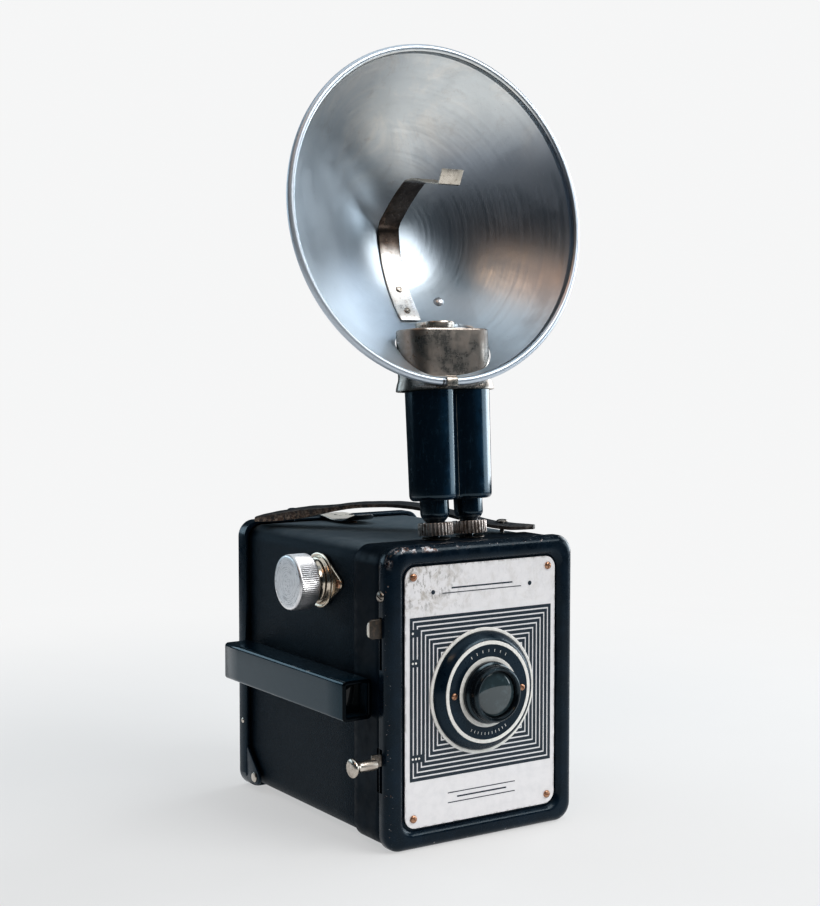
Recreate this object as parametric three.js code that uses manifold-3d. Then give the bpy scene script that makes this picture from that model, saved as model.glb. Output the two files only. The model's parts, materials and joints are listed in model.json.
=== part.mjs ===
// Box roll-film camera with a plug-in two-cell flash gun.
// Millimetres. +X right seen from the front, +Y towards the back, +Z up.
// Origin: middle of the flat under-edge of the front cover, on the standing plane.
import * as THREE from 'three';
import { mergeVertices, toCreasedNormals } from 'three/addons/utils/BufferGeometryUtils.js';
import Module from 'manifold-3d';
const wasm = await Module();
wasm.setup();

// ---------- driving dimensions ----------
const Y0 = 3.0;            // shift from the face plate plane to the origin
const GAP = 0.3;           // air between neighbouring pieces
const COVER = { hw: 41.5, top: 108.5, r: 6.6, front: -1.2, rear: 4.6, edge: 3.2 };
const BAND = { hw: 41.3, bot: 0.8, top: 107.8, r: 6.4, front: 4.9, rear: 21.9, wall: 1.3 };
const SHELL = { hw: 39.8, bot: 1.4, top: 107.3, r: 6, front: 22.2, rear: 107, wall: 1.2 };
const DOOR = { hw: 42.2, bot: 0, top: 109, r: 6.6, front: 105, rear: 111.7, wall: 1.5 };
const HINGE = { y: 98, z: 6 };
const PLATE = { hw: 33.4, bot: 7.6, top: 101.1, r: 4.5, t: 0.6 };
const STRIPE = { hw: 31.35, bot: 24.6, top: 83.1, pitch: 1.72, w: 1.0 };
const LENS = { z: 54.1, ring: 23, ringIn: 21.3, disc: 18.9 };
const WIND = { y: 47.1, z: 92, r: 10.35, out: -54.6, in: -46.1 };
const SUPPLY = { y: 47.1, z: 17 };
const SPOOL = { flange: 12.65, core: 5, half: 32.6 };
const ROLL = { y: 104.4, zTop: 102.9, zBot: 5.7, r: 1.8 };
const FINDER = { out: -53.3, in: -41.6, bot: 47, top: 61.4, front: 9, rear: 101.5, wall: 1.8 };
const RELEASE = { x: -12, z: 34.6, rodY: 1.5, rodZ: 32.6, tip: -55 };
const FLASH = { y: 18.7, z: 108.8, back: 5.5, left: 0, half: 7.6 };
const NUT = { r: 6.5, h: 5.2, bore: 3.56, teeth: 26 };
const CASE = { bot: 14.1, top: 53.6, r0: 9.1, r1: 9.5, wall: 1.5 };
const CUP = { a: 10, r: 8.9, skirtR: 10, bot: 53.9, top: 76.3, wall: 0.9 };
const BOWL = { x: -5.3, y: 19.0, z: 226.9, R: 62.8, depth: 39, t: 0.9, tilt: 7.0, yaw: -1.9, bead: 1.5 };
const ARM = { w: 9.2, t: 0.6 };

// ---------- helpers ----------
const S = (g) => {
  g = g.index ? g : mergeVertices(g);
  const h = g.clone();
  for (const k of Object.keys(h.attributes)) if (k !== 'position') h.deleteAttribute(k);
  const m = mergeVertices(h, 1e-4);
  return new wasm.Manifold(new wasm.Mesh({
    numProp: 3,
    vertProperties: Float32Array.from(m.attributes.position.array),
    triVerts: Uint32Array.from(m.index.array),
  }));
};
const G = (man) => {
  const m = man.getMesh();
  const n = m.numProp;
  const p = new Float32Array(m.vertProperties.length / n * 3);
  for (let i = 0; i < p.length / 3; i++) for (let k = 0; k < 3; k++) p[i * 3 + k] = m.vertProperties[i * n + k];
  const g = new THREE.BufferGeometry();
  g.setAttribute('position', new THREE.BufferAttribute(p, 3));
  g.setIndex(new THREE.BufferAttribute(Uint32Array.from(m.triVerts), 1));
  return g;
};
const sub = (a, ...bs) => bs.reduce((x, b) => x.subtract(b), a);
const uni = (a, ...bs) => bs.reduce((x, b) => x.add(b), a);
const rrect = (x0, x1, y0, y1, r, seg) => {
  const s = new THREE.Shape();
  s.moveTo(x0 + r, y0); s.lineTo(x1 - r, y0); s.absarc(x1 - r, y0 + r, r, -Math.PI / 2, 0, false);
  s.lineTo(x1, y1 - r); s.absarc(x1 - r, y1 - r, r, 0, Math.PI / 2, false);
  s.lineTo(x0 + r, y1); s.absarc(x0 + r, y1 - r, r, Math.PI / 2, Math.PI, false);
  s.lineTo(x0, y0 + r); s.absarc(x0 + r, y0 + r, r, Math.PI, 1.5 * Math.PI, false);
  return s;
};
const poly = (pts) => { const s = new THREE.Shape(); s.moveTo(...pts[0]); pts.slice(1).forEach((p) => s.lineTo(...p)); s.closePath(); return s; };
const ext = (shape, depth, seg = 4, bevel = 0, bseg = 2) => new THREE.ExtrudeGeometry(shape, {
  depth: depth - 2 * bevel, steps: 1, curveSegments: seg, bevelEnabled: bevel > 0,
  bevelSize: bevel, bevelThickness: bevel, bevelOffset: -bevel, bevelSegments: bseg,
}).translate(0, 0, bevel);
// (a,b) shape -> X,Z plane, extruded from y0 to y1
const prY = (shape, y0, y1, seg = 4, bevel = 0, bseg = 2) => ext(shape, y1 - y0, seg, bevel, bseg).rotateX(Math.PI / 2).translate(0, y1, 0);
// (a,b) shape -> Y,Z plane, extruded from x0 to x1
const prX = (shape, x0, x1, seg = 4, bevel = 0, bseg = 2) => {
  const g = ext(shape, x1 - x0, seg, bevel, bseg);
  g.applyMatrix4(new THREE.Matrix4().set(0, 0, 1, x0, 1, 0, 0, 0, 0, 1, 0, 0, 0, 0, 0, 1));
  return g;
};
const prZ = (shape, z0, z1, seg = 4, bevel = 0, bseg = 2) => ext(shape, z1 - z0, seg, bevel, bseg).translate(0, 0, z0);
const box = (x0, x1, y0, y1, z0, z1) => new THREE.BoxGeometry(x1 - x0, y1 - y0, z1 - z0).translate((x0 + x1) / 2, (y0 + y1) / 2, (z0 + z1) / 2);
const V = (x, y, z) => new THREE.Vector3(x, y, z);
const toDir = (g, p, d) => g.applyQuaternion(new THREE.Quaternion().setFromUnitVectors(V(0, 1, 0), d.clone().normalize())).translate(p.x, p.y, p.z);
// solid of revolution: pts = [radius, height] from axis to axis (or closed ring), axis along d from p
const DETAIL = 0.6;
const lat = (pts, p, d, seg = 20) => toDir(new THREE.LatheGeometry(pts.map((q) => new THREE.Vector2(q[0], q[1])), Math.max(8, 2 * Math.round(seg * DETAIL / 2))), p, d);
const cyl = (r, p, d, len, seg = 24) => lat([[0, 0], [r, 0], [r, len], [0, len]], p, d, seg);
const ring = (r1, r0, p, d, len, seg = 24) => lat([[r0, 0], [r1, 0], [r1, len], [r0, len], [r0, 0]], p, d, seg);
// rectangular frustum along Y
const frust = (y0, hw0, hh0, y1, hw1, hh1, zc) => {
  const v = [];
  for (const [y, w, h] of [[y0, hw0, hh0], [y1, hw1, hh1]]) v.push([-w, y, zc - h], [w, y, zc - h], [w, y, zc + h], [-w, y, zc + h]);
  const f = [[0, 1, 2], [0, 2, 3], [4, 6, 5], [4, 7, 6], [0, 4, 5], [0, 5, 1], [1, 5, 6], [1, 6, 2], [2, 6, 7], [2, 7, 3], [3, 7, 4], [3, 4, 0]];
  const g = new THREE.BufferGeometry();
  g.setAttribute('position', new THREE.BufferAttribute(new Float32Array(v.flat()), 3));
  g.setIndex(f.flat());
  return g;
};
const knurl = (r, depth, n) => {
  const pts = [];
  for (let i = 0; i < n; i++) {
    const a = (i / n) * Math.PI * 2, b = ((i + 0.5) / n) * Math.PI * 2;
    pts.push([r * Math.cos(a), r * Math.sin(a)], [(r - depth) * Math.cos(b), (r - depth) * Math.sin(b)]);
  }
  return poly(pts);
};
const domeScrew = (p, d, r, h, shankR, shankL) => lat([[0, -shankL], [shankR, -shankL], [shankR, 0], [r, 0], [r * 0.85, h * 0.7], [0, h]], p, d, 14);

const root = new THREE.Group();
root.name = 'box_camera_with_flash';
const frame = new THREE.Group();
frame.name = 'camera_frame';
frame.position.set(0, -Y0, 0);
root.add(frame);
const mats = {
  enamel: [0x14181e, 0.38, 0.1], wrinkle: [0x1b2027, 0.62, 0.1], plate: [0xd9dadf, 0.35, 0.35], ink: [0x14222e, 0.5, 0.0],
  copper: [0xa9714f, 0.35, 0.9], white: [0xd6d8d8, 0.5, 0.1], glass: [0x4d5f66, 0.08, 0.0], alu: [0xb9bdc2, 0.32, 0.95],
  nickel: [0x9a918a, 0.3, 0.95], spun: [0xaeb2b8, 0.3, 0.95], leather: [0x1a1715, 0.75, 0.0], bakelite: [0x0a0e13, 0.22, 0.0],
  steel: [0x7c7f83, 0.35, 0.9], inner: [0x1e1e1f, 0.8, 0.0], red: [0x8a1a16, 0.15, 0.0], wood: [0x7a5a3a, 0.7, 0.0],
  brass: [0xa88a4a, 0.35, 0.9], cell: [0x555b52, 0.5, 0.2],
};
const add = (name, geomOrMan, mat, parent = frame) => {
  let g = geomOrMan.getMesh ? G(geomOrMan.simplify ? geomOrMan.simplify(0.004) : geomOrMan) : mergeVertices((() => { const h = geomOrMan.index ? geomOrMan : mergeVertices(geomOrMan); for (const k of Object.keys(h.attributes)) if (k !== 'position') h.deleteAttribute(k); return h; })(), 1e-4);
  g = toCreasedNormals(g.index ? g.toNonIndexed() : g, 0.6);
  const [c, r, m] = mats[mat];
  const mesh = new THREE.Mesh(g, new THREE.MeshStandardMaterial({ color: c, roughness: r, metalness: m }));
  mesh.name = name;
  parent.add(mesh);
  return mesh;
};
const nY = V(0, -1, 0), pY = V(0, 1, 0), nX = V(-1, 0, 0), pX = V(1, 0, 0), pZ = V(0, 0, 1);

// ---------- front cover (pressed pan) ----------
{
  const C = COVER;
  let m = S(prY(rrect(-C.hw, C.hw, 0, C.top, C.r), C.front, C.rear + 4, 4, C.edge, 2));
  m = m.subtract(S(box(-60, 60, C.rear, 20, -5, 120)));
  // recess for the face plate with a sloping lip
  const flat = S(prY(rrect(-34.2, 34.2, 6.8, 101.9, 5.2), -1.3, 0.9));
  const lip = [];
  for (const [k, y] of [[0.5, -0.45], [1, -0.9]]) lip.push(S(prY(rrect(-34.2 - 1.8 * k, 34.2 + 1.8 * k, 6.8 - 1.8 * k, 101.9 + 1.8 * k, 5.2 + 1.2 * k), -1.3, y, 4)));
  m = sub(m, flat, ...lip);
  // rear cavity
  m = m.subtract(S(prY(rrect(-40.2, 40.2, 1.4, C.top - 1.4, 5.3), 2.4, 6)));
  // lens opening, plate screw holes
  m = m.subtract(S(cyl(12.2, V(0, -2, LENS.z), pY, 8, 28)));
  for (const sx of [-1, 1]) for (const z of [97.5, 11.2]) m = m.subtract(S(cyl(0.85, V(sx * 29.9, -2, z), pY, 6, 12)));
  // side slots for the time tab and the release lever, hole for the side screw
  m = m.subtract(S(box(-44, -40, 2.35, 4.05, 65.3, 83.9)));
  m = m.subtract(S(box(-44, -40, 2.3, 4.1, 21.5, 37.2)));
  m = m.subtract(S(cyl(1.15, V(-44, 2.2 + 0.9, 91.3), pX, 6, 14)));
  for (const a of [0, Math.PI]) m = m.subtract(S(cyl(0.8, V(15 * Math.cos(a), -2, LENS.z + 15 * Math.sin(a)), pY, 6, 12)));
  add('front_cover', m, 'enamel');
}

// ---------- face plate and its print ----------
{
  const P = PLATE;
  let m = S(prY(rrect(-P.hw, P.hw, P.bot, P.top, P.r), 0, P.t));
  m = m.subtract(S(cyl(12.2, V(0, -1, LENS.z), pY, 4, 28)));
  for (const sx of [-1, 1]) for (const z of [97.5, 11.2]) m = m.subtract(S(cyl(0.85, V(sx * 29.9, -1, z), pY, 4, 12)));
  for (const a of [0, Math.PI]) m = m.subtract(S(cyl(0.8, V(15 * Math.cos(a), -2, LENS.z + 15 * Math.sin(a)), pY, 6, 12)));
  add('face_plate', m, 'plate');

  const K = STRIPE, zc = (K.bot + K.top) / 2, hh = (K.top - K.bot) / 2;
  let pr = null;
  for (let i = 0; i < 9; i++) {
    const w = K.hw - i * K.pitch, h = hh - i * K.pitch;
    const r = S(box(-w, w, -0.15, -0.03, zc - h, zc + h)).subtract(S(box(-w + K.w, w - K.w, -1, 1, zc - h + K.w, zc + h - K.w)));
    pr = pr ? pr.add(r) : r;
  }
  for (const s of [-1, 1]) {
    const t = S(box(-17, 17, -0.15, -0.03, -0.12, 0.12).rotateY(s * Math.PI / 4));
    const L = 17 / Math.SQRT2;
    pr = pr.add(t.translate([K.hw - L - 0.1, 0, s * (-(hh - L - 0.1)) + zc])).add(t.translate([-(K.hw - L - 0.1), 0, s * (hh - L - 0.1) + zc]));
  }
  pr = pr.subtract(S(cyl(LENS.ring + 0.35, V(0, -2, LENS.z), pY, 4, 40)));
  const parts = pr.decompose();
  parts.sort((a, b) => b.volume() - a.volume());
  add('face_print', parts[0], 'ink');
  for (const [n, sx, z] of [['plate_screw_tl', -1, 97.5], ['plate_screw_tr', 1, 97.5], ['plate_screw_bl', -1, 11.2], ['plate_screw_br', 1, 11.2]])
    add(n, S(domeScrew(V(sx * 29.9, -0.12, z), nY, 1.35, 0.75, 0.6, 2.2)), 'copper');
}

// ---------- lens unit ----------
{
  const c = V(0, 0, LENS.z);
  add('lens_ring', ring(LENS.ring, LENS.ringIn + 0.15, c.clone().setY(-0.12), nY, 0.5, 40), 'white');
  add('lens_bezel', lat([[16, 0], [LENS.ringIn, 0], [LENS.ringIn - 0.3, 1.2], [LENS.disc + 0.1, 4], [LENS.disc - 0.7, 4.1], [LENS.disc - 0.7, 3.2], [16, 3.2], [16, 0]], c.clone().setY(-0.12), nY, 40), 'enamel');
  let d = S(lat([[11.1, 0], [18.0, 0], [18.0, 0.55], [17.2, 0.7], [11.1, 0.7], [11.1, 0]], c.clone().setY(-3.5), nY, 40));
  for (const a of [0, Math.PI]) d = d.subtract(S(cyl(0.8, V(15 * Math.cos(a), -8, LENS.z + 15 * Math.sin(a)), pY, 8, 12)));
  add('lens_disc', d, 'white');
  [['bezel_screw_l', Math.PI], ['bezel_screw_r', 0]].forEach(([n, a]) =>
    add(n, S(domeScrew(V(15 * Math.cos(a), -4.32, LENS.z + 15 * Math.sin(a)), nY, 1.3, 0.7, 0.55, 6.2)), 'copper'));
  // barrel: sleeve through the plate, stepped front
  add('lens_barrel', lat([[8.3, -2.6], [10.7, -2.6], [10.7, 4.3], [11.3, 4.3], [11.0, 6.2], [10.3, 6.6], [9.8, 10.2], [8.9, 10.6], [8.3, 9.6], [8.3, -2.6]], c.clone().setY(0), nY, 36), 'bakelite');
  add('lens_glass', lat([[0, 5.4], [7.9, 6.6], [7.9, 8.2], [5.5, 9.1], [2.8, 9.6], [0, 9.75]], c.clone().setY(0), nY, 28), 'glass');
}

// ---------- shutter ----------
{
  let b = S(prY(rrect(-39.4, 39.4, 2.8, 105.8, 5), 7.4, 8.4));
  b = sub(b, S(cyl(7, V(0, 5, LENS.z), pY, 8, 32)), S(box(-45, -24, 5, 12, 84, 110)));
  b = b.add(S(cyl(1.2, V(0, 8.3, 38.1), pY, 3.6, 16)));
  b = b.add(S(cyl(1.5, V(RELEASE.x, 2.7, RELEASE.z), pY, 5, 18)));
  for (const s of [-1, 1]) b = b.subtract(S(cyl(4.4, V(s * FLASH.half, 0, 0), pZ, 1)));
  add('shutter_board', b, 'inner');
  let k = S(cyl(21.5, V(0, 9.0, 38.1), pY, 0.6, 48)).subtract(S(cyl(1.36, V(0, 8, 38.1), pY, 4, 16)));
  const hole = (ang) => S(cyl(4.6, V(16 * Math.sin(ang), 8, 38.1 + 16 * Math.cos(ang)), pY, 4, 24));
  k = k.subtract(hole(0.55)).subtract(hole(0.7)).subtract(hole(0.85));
  add('shutter_disc', k, 'steel');
  // release lever: flat bar, rod and flared button
  const ry = RELEASE.rodY;
  let l = S(box(-45.4, RELEASE.x, 2.7, 3.7, 31.2, 35.6));
  l = l.add(S(cyl(3.4, V(RELEASE.x, 2.7, RELEASE.z), pY, 1.0, 24)));
  l = l.subtract(S(cyl(1.7, V(RELEASE.x, 0, RELEASE.z), pY, 8, 18)));
  l = l.add(S(lat([[0, 0], [2, 0], [2, 7.3], [2.4, 8.0], [3.45, 8.8], [3.45, 9.7], [2.6, 10.3], [0, 10.5]], V(-44.5, ry + 0.4, RELEASE.rodZ), nX, 24)));
  add('release_lever', l, 'nickel');
  // return spring: flat hair spring bar held to the board
  let sp = S(box(-30, -16, 5.2, 5.6, 24.4, 25.1)).add(S(box(-30.5, -29.7, 2.9, 5.6, 24.4, 26.6))).add(S(cyl(1.3, V(-16, 4.9, 24.7), pY, 2.2, 14)));
  add('release_spring', sp, 'steel');
  // instant / time slide
  let t = S(box(-39.8, -36, 2.8, 3.6, 60, 84.5)).add(S(box(-46.9, -39.6, 2.6, 3.8, 76.5, 83.5)));
  add('time_slide', t, 'nickel');
  add('side_screw', S(lat([[0, -2.6], [0.9, -2.6], [0.9, 0], [2, 0], [1.8, 1.0], [0, 1.3]], V(-41.65, 3.1, 91.3), nX, 20)).subtract(S(box(-45, -42.5, 2.8, 3.4, 88, 95))), 'nickel');
}

// ---------- front frame (mid band) ----------
{
  const B = BAND;
  let m = S(prY(rrect(-B.hw, B.hw, B.bot, B.top, B.r), B.front, B.rear, 4, 0.5, 1));
  m = m.subtract(S(prY(rrect(-B.hw + B.wall, B.hw - B.wall, B.bot + B.wall, B.top - B.wall, B.r - 1.2), B.front + 1.6, B.rear + 1)));
  m = m.subtract(S(prY(rrect(-36.5, 36.5, 6, 102.6, 4), B.front - 1, B.front + 3)));
  m = m.subtract(S(box(-50, -34, 4.0, 6.0, 21.5, 37.2)));
  for (const s of [-1, 1]) m = m.subtract(S(cyl(3.45, V(s * FLASH.half, FLASH.y, 100), pZ, 12, 20)));
  add('front_frame', m, 'enamel');
}

// ---------- body shell ----------
{
  const B = SHELL;
  let m = S(prY(rrect(-B.hw, B.hw, B.bot, B.top, B.r), B.front, B.rear, 4));
  m = m.subtract(S(prY(rrect(-B.hw + B.wall, B.hw - B.wall, B.bot + B.wall, B.top - B.wall, B.r - 1.2), B.front - 1, B.rear + 1)));
  m = m.subtract(S(cyl(2.6, V(-45, WIND.y, WIND.z), pX, 10, 20)));
  for (const s of [-1, 1]) m = m.subtract(S(cyl(0.9, V(-45, WIND.y + s * 13.9, WIND.z), pX, 10, 12)));
  for (const [x, y] of [[-27.5, 91.5], [27.5, 25.3]]) m = m.subtract(S(cyl(1.05, V(x, y, 100), pZ, 12, 14)));
  // catch stud for the back latch
  m = m.add(S(lat([[0, -0.5], [1.7, -0.5], [1.7, 0.15], [1.1, 0.45], [0, 0.5]], V(0.5, 91.5, B.top), pZ, 16)));
  // hinge rod passes both side walls
  m = m.subtract(S(cyl(1.15, V(-45, HINGE.y, HINGE.z), pX, 90, 16)));
  // finder feet screws
  add('body_shell', m, 'wrinkle');
}

// ---------- inner carrier: film cone, gate, side cheeks, spool pins ----------
{
  const zc = 54.2;
  let m = S(frust(28, 11, 13, 103, 29.7, 42.7, zc)).subtract(S(frust(27.9, 10, 12, 103.1, 28.6, 41.6, zc)));
  m = m.add(S(prY(rrect(-37.6, 37.6, 9.4, 99.2, 1.5), 101.8, 103)).subtract(S(box(-28.5, 28.5, 100, 105, 12.7, 95.7))));
  for (const s of [-1, 1]) {
    const x0 = s > 0 ? 33.4 : -34.6, x1 = s > 0 ? 34.6 : -33.4;
    let c = S(prX(poly([[32, 5], [60, 5], [103, 9], [103, 99], [60, 103.5], [32, 103.5]]), x0, x1));
    m = m.add(c);
    // bearing ears for the guide rollers
    for (const z of [ROLL.zTop, ROLL.zBot]) {
      let e = S(box(x0, x1, 100.5, 106.2, z - 2.2 - (z > 50 ? 4 : 0), z + 2.2 + (z > 50 ? 0 : 4)));
      m = m.add(e).subtract(S(cyl(1.05, V(x0 - 1, ROLL.y, z), pX, 4, 12)));
    }
    // spool pins
    m = m.add(S(cyl(2.0, V(s > 0 ? 28.4 : -34, SUPPLY.y, SUPPLY.z), pX, 5.6, 18)));
    if (s > 0) m = m.add(S(cyl(2.0, V(28.4, WIND.y, WIND.z), pX, 5.6, 18)));
  }
  m = m.subtract(S(cyl(3.7, V(-36, WIND.y, WIND.z), pX, 4, 24)));
  add('film_carrier', m, 'inner');
}

// ---------- spools and rollers ----------
for (const [n, q, key] of [['take_up_spool', WIND, 1], ['supply_spool', SUPPLY, 0]]) {
  const h = SPOOL.half;
  let m = S(lat([[0, 0], [SPOOL.flange, 0], [SPOOL.flange, 0.8], [SPOOL.core, 0.8], [SPOOL.core, 2 * h - 0.8], [SPOOL.flange, 2 * h - 0.8], [SPOOL.flange, 2 * h], [0, 2 * h]], V(-h, q.y, q.z), pX, 32));
  m = sub(m, S(cyl(2.25, V(-h - 1, q.y, q.z), pX, 7, 18)), S(cyl(2.25, V(h - 6, q.y, q.z), pX, 7, 18)));
  m = m.subtract(S(box(-h - 1, -h + 4, q.y - 0.75, q.y + 0.75, q.z - 3.6, q.z + 3.6)));
  add(n, m, key ? 'steel' : 'wood');
}
for (const [n, z] of [['film_roller_top', ROLL.zTop], ['film_roller_bottom', ROLL.zBot]])
  add(n, lat([[0, 0], [0.86, 0], [0.86, 2.3], [ROLL.r, 2.3], [ROLL.r, 67.3], [0.86, 67.3], [0.86, 69.6], [0, 69.6]], V(-34.8, ROLL.y, z), pX, 16), 'steel');

// ---------- winding knob, clip and escutcheon ----------
{
  const k = WIND;
  let m = S(prX(knurl(k.r, 0.35, 36), k.out + 0.5, k.in));
  m = m.add(S(lat([[0, 0], [9.4, 0], [10.0, 0.35], [10.05, 0.7], [0, 0.7]], V(k.out, 0, 0), pX, 36)));
  m = m.translate([0, k.y, k.z]);
  m = m.subtract(S(lat([[3.4, -1], [8.6, -1], [8.6, 4.2], [3.4, 4.2], [3.4, -1]], V(k.in, k.y, k.z), nX, 32)));
  m = m.add(S(cyl(1.9, V(k.in - 4.2, k.y, k.z), pX, k.in * -1 + 4.2 - 28.6, 18)));
  m = m.add(S(box(-31.9, -30.3, k.y - 0.55, k.y + 0.55, k.z - 3.1, k.z + 3.1)));
  m = m.subtract(S(ring(3, 1.4, V(-35.7, k.y, k.z), pX, 0.9, 18)));
  add('winding_knob', m, 'alu');
  let c = S(ring(3.3, 1.55, V(-35.6, k.y, k.z), pX, 0.7, 20)).subtract(S(box(-37, -34, k.y - 0.5, k.y + 0.5, k.z - 5, k.z)));
  add('shaft_clip', c, 'steel');
  // nickel escutcheon: rounded rhombus with a raised collar
  const hy = 17.6, hz = 11.6;
  const sh = new THREE.Shape();
  const P = [[-hy, 0], [0, -hz], [hy, 0], [0, hz]], rr = [0.18, 0.45, 0.18, 0.45];
  for (let i = 0; i < 4; i++) {
    const a = P[i], b = P[(i + 3) % 4], c2 = P[(i + 1) % 4], t = rr[i];
    const p0 = [a[0] + (b[0] - a[0]) * t, a[1] + (b[1] - a[1]) * t], p1 = [a[0] + (c2[0] - a[0]) * t, a[1] + (c2[1] - a[1]) * t];
    if (i === 0) sh.moveTo(...p0); else sh.lineTo(...p0);
    sh.quadraticCurveTo(a[0] * 1.0, a[1] * 1.0, p1[0], p1[1]);
  }
  sh.closePath();
  let e = S(prX(sh, -40.9, -40.1, 6)).translate([0, k.y, k.z]);
  e = e.add(S(lat([[0, 0], [10.3, 0], [10.1, 0.8], [9.0, 1.0], [8.5, 1.9], [7.5, 2.4], [7.1, 3.1], [7.0, 4.3], [6.4, 5.0], [0, 5.0]], V(-40.5, k.y, k.z), nX, 36)));
  e = e.subtract(S(cyl(5.2, V(-48, k.y, k.z), pX, 5.6, 30))).subtract(S(cyl(2.05, V(-50, k.y, k.z), pX, 12, 20)));
  for (const s of [-1, 1]) e = e.subtract(S(cyl(0.9, V(-45, k.y + s * 13.9, k.z), pX, 6, 12)));
  add('escutcheon', e, 'nickel');
  for (const [n, s] of [['escutcheon_screw_front', -1], ['escutcheon_screw_rear', 1]])
    add(n, S(domeScrew(V(-41.0, k.y + s * 13.9, k.z), nX, 1.5, 0.7, 0.65, 2.4)), 'brass');
}

// ---------- viewfinder ----------
{
  const F = FINDER, w = F.wall;
  let m = S(prY(rrect(F.out, F.in, F.bot, F.top, 1.4), F.front, F.rear, 2, 0.4, 1));
  m = m.subtract(S(prY(rrect(F.out + w, F.in - w, F.bot + w, F.top - w, 0.6), F.front - 1, F.rear + 1, 1)));
  for (const y of [34, 88]) m = m.add(S(prX(rrect(y - 4, y + 4, 49.5, 58.9, 1), F.in - 0.5, -40.05, 1)));
  add('viewfinder_tube', m, 'bakelite');
  const x0 = F.out + w + 0.12, x1 = F.in - w - 0.12, z0 = F.bot + w + 0.12, z1 = F.top - w - 0.12;
  add('finder_front_lens', prY(rrect(x0, x1, z0, z1, 0.5), F.front + 5, F.front + 6.6, 1, 0.4, 1), 'glass');
  add('finder_eye_lens', prY(rrect(x0, x1, z0, z1, 0.5), F.rear - 3.2, F.rear - 1.8, 1, 0.4, 1), 'glass');
}

// ---------- back cover, hinge rod, window, latch ----------
{
  const D = DOOR;
  let m = S(prY(rrect(-D.hw, D.hw, D.bot, D.top, D.r), D.front - 6, D.rear, 4, 1.3, 1));
  m = m.subtract(S(box(-60, 60, 90, D.front, -5, 120)));
  m = m.subtract(S(prY(rrect(-40.2, 40.2, 1.05, 107.65, 6.1), D.front - 1, 110.2)));
  // hinge ears
  for (const s of [-1, 1]) {
    const x0 = s > 0 ? 40.35 : -41.9, x1 = s > 0 ? 41.9 : -40.35;
    m = m.add(S(prX(poly([[105.6, 18], [105.6, 3], [96.5, 3], [94.6, 4.4], [94.6, 7.6], [96.5, 9.2]]), x0, x1)));
    m = m.subtract(S(cyl(1.22, V(x0 - 1, HINGE.y, HINGE.z), pX, 4, 16)));
  }
  m = m.subtract(S(cyl(6.2, V(0, 100, 54.2), pY, 20, 28)));
  // pressed stiffening panel on the back
  m = m.add(S(prY(rrect(-33, 33, 10, 98, 5), 111.5, 112.1, 3)).subtract(S(prY(rrect(-31, 31, 12, 96, 4), 111, 113, 3))));
  for (const sx of [-4, 4]) m = m.subtract(S(cyl(0.75, V(sx, 108.6, 106), pZ, 5, 12)));
  add('back_cover', m, 'enamel');
  add('hinge_rod', lat([[0, 0.2], [1.3, 0], [1.9, 0.3], [1.9, 0.65], [1.05, 0.65], [1.05, 84.85], [1.9, 84.85], [1.9, 85.2], [1.3, 85.5], [0, 85.3]], V(-42.75, HINGE.y, HINGE.z), pX, 16), 'nickel');
  add('red_window', lat([[0, 0], [5.7, 0], [5.7, 1.85], [6.9, 1.85], [6.9, 2.6], [0, 2.6]], V(0, 111.85, 54.2), nY, 28), 'red');
  // latch leaf: rides on the back cover, hooks over the stud, lip towards the front
  const path = [[109.4, 109.3], [105.6, 109.3], [98, 108.35], [90, 108.25], [86, 108.75], [81.5, 110.9]];
  const up = path.map((p) => [p[0], p[1] + 0.55]).reverse();
  let l = S(prX(poly([...path, ...up].reverse()), -6.75, 6.75));
  l = l.intersect(S(prZ(rrect(-6.75, 6.75, 80, 112, 2.2), 100, 120, 4)));
  l = l.subtract(S(cyl(1.9, V(0.5, 91.5, 100), pZ, 20, 16)));
  for (const sx of [-4, 4]) l = l.add(S(cyl(0.42, V(sx, 108.6, 108.1), pZ, 1.5, 14)));
  add('latch_leaf', l, 'enamel');
}

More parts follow.
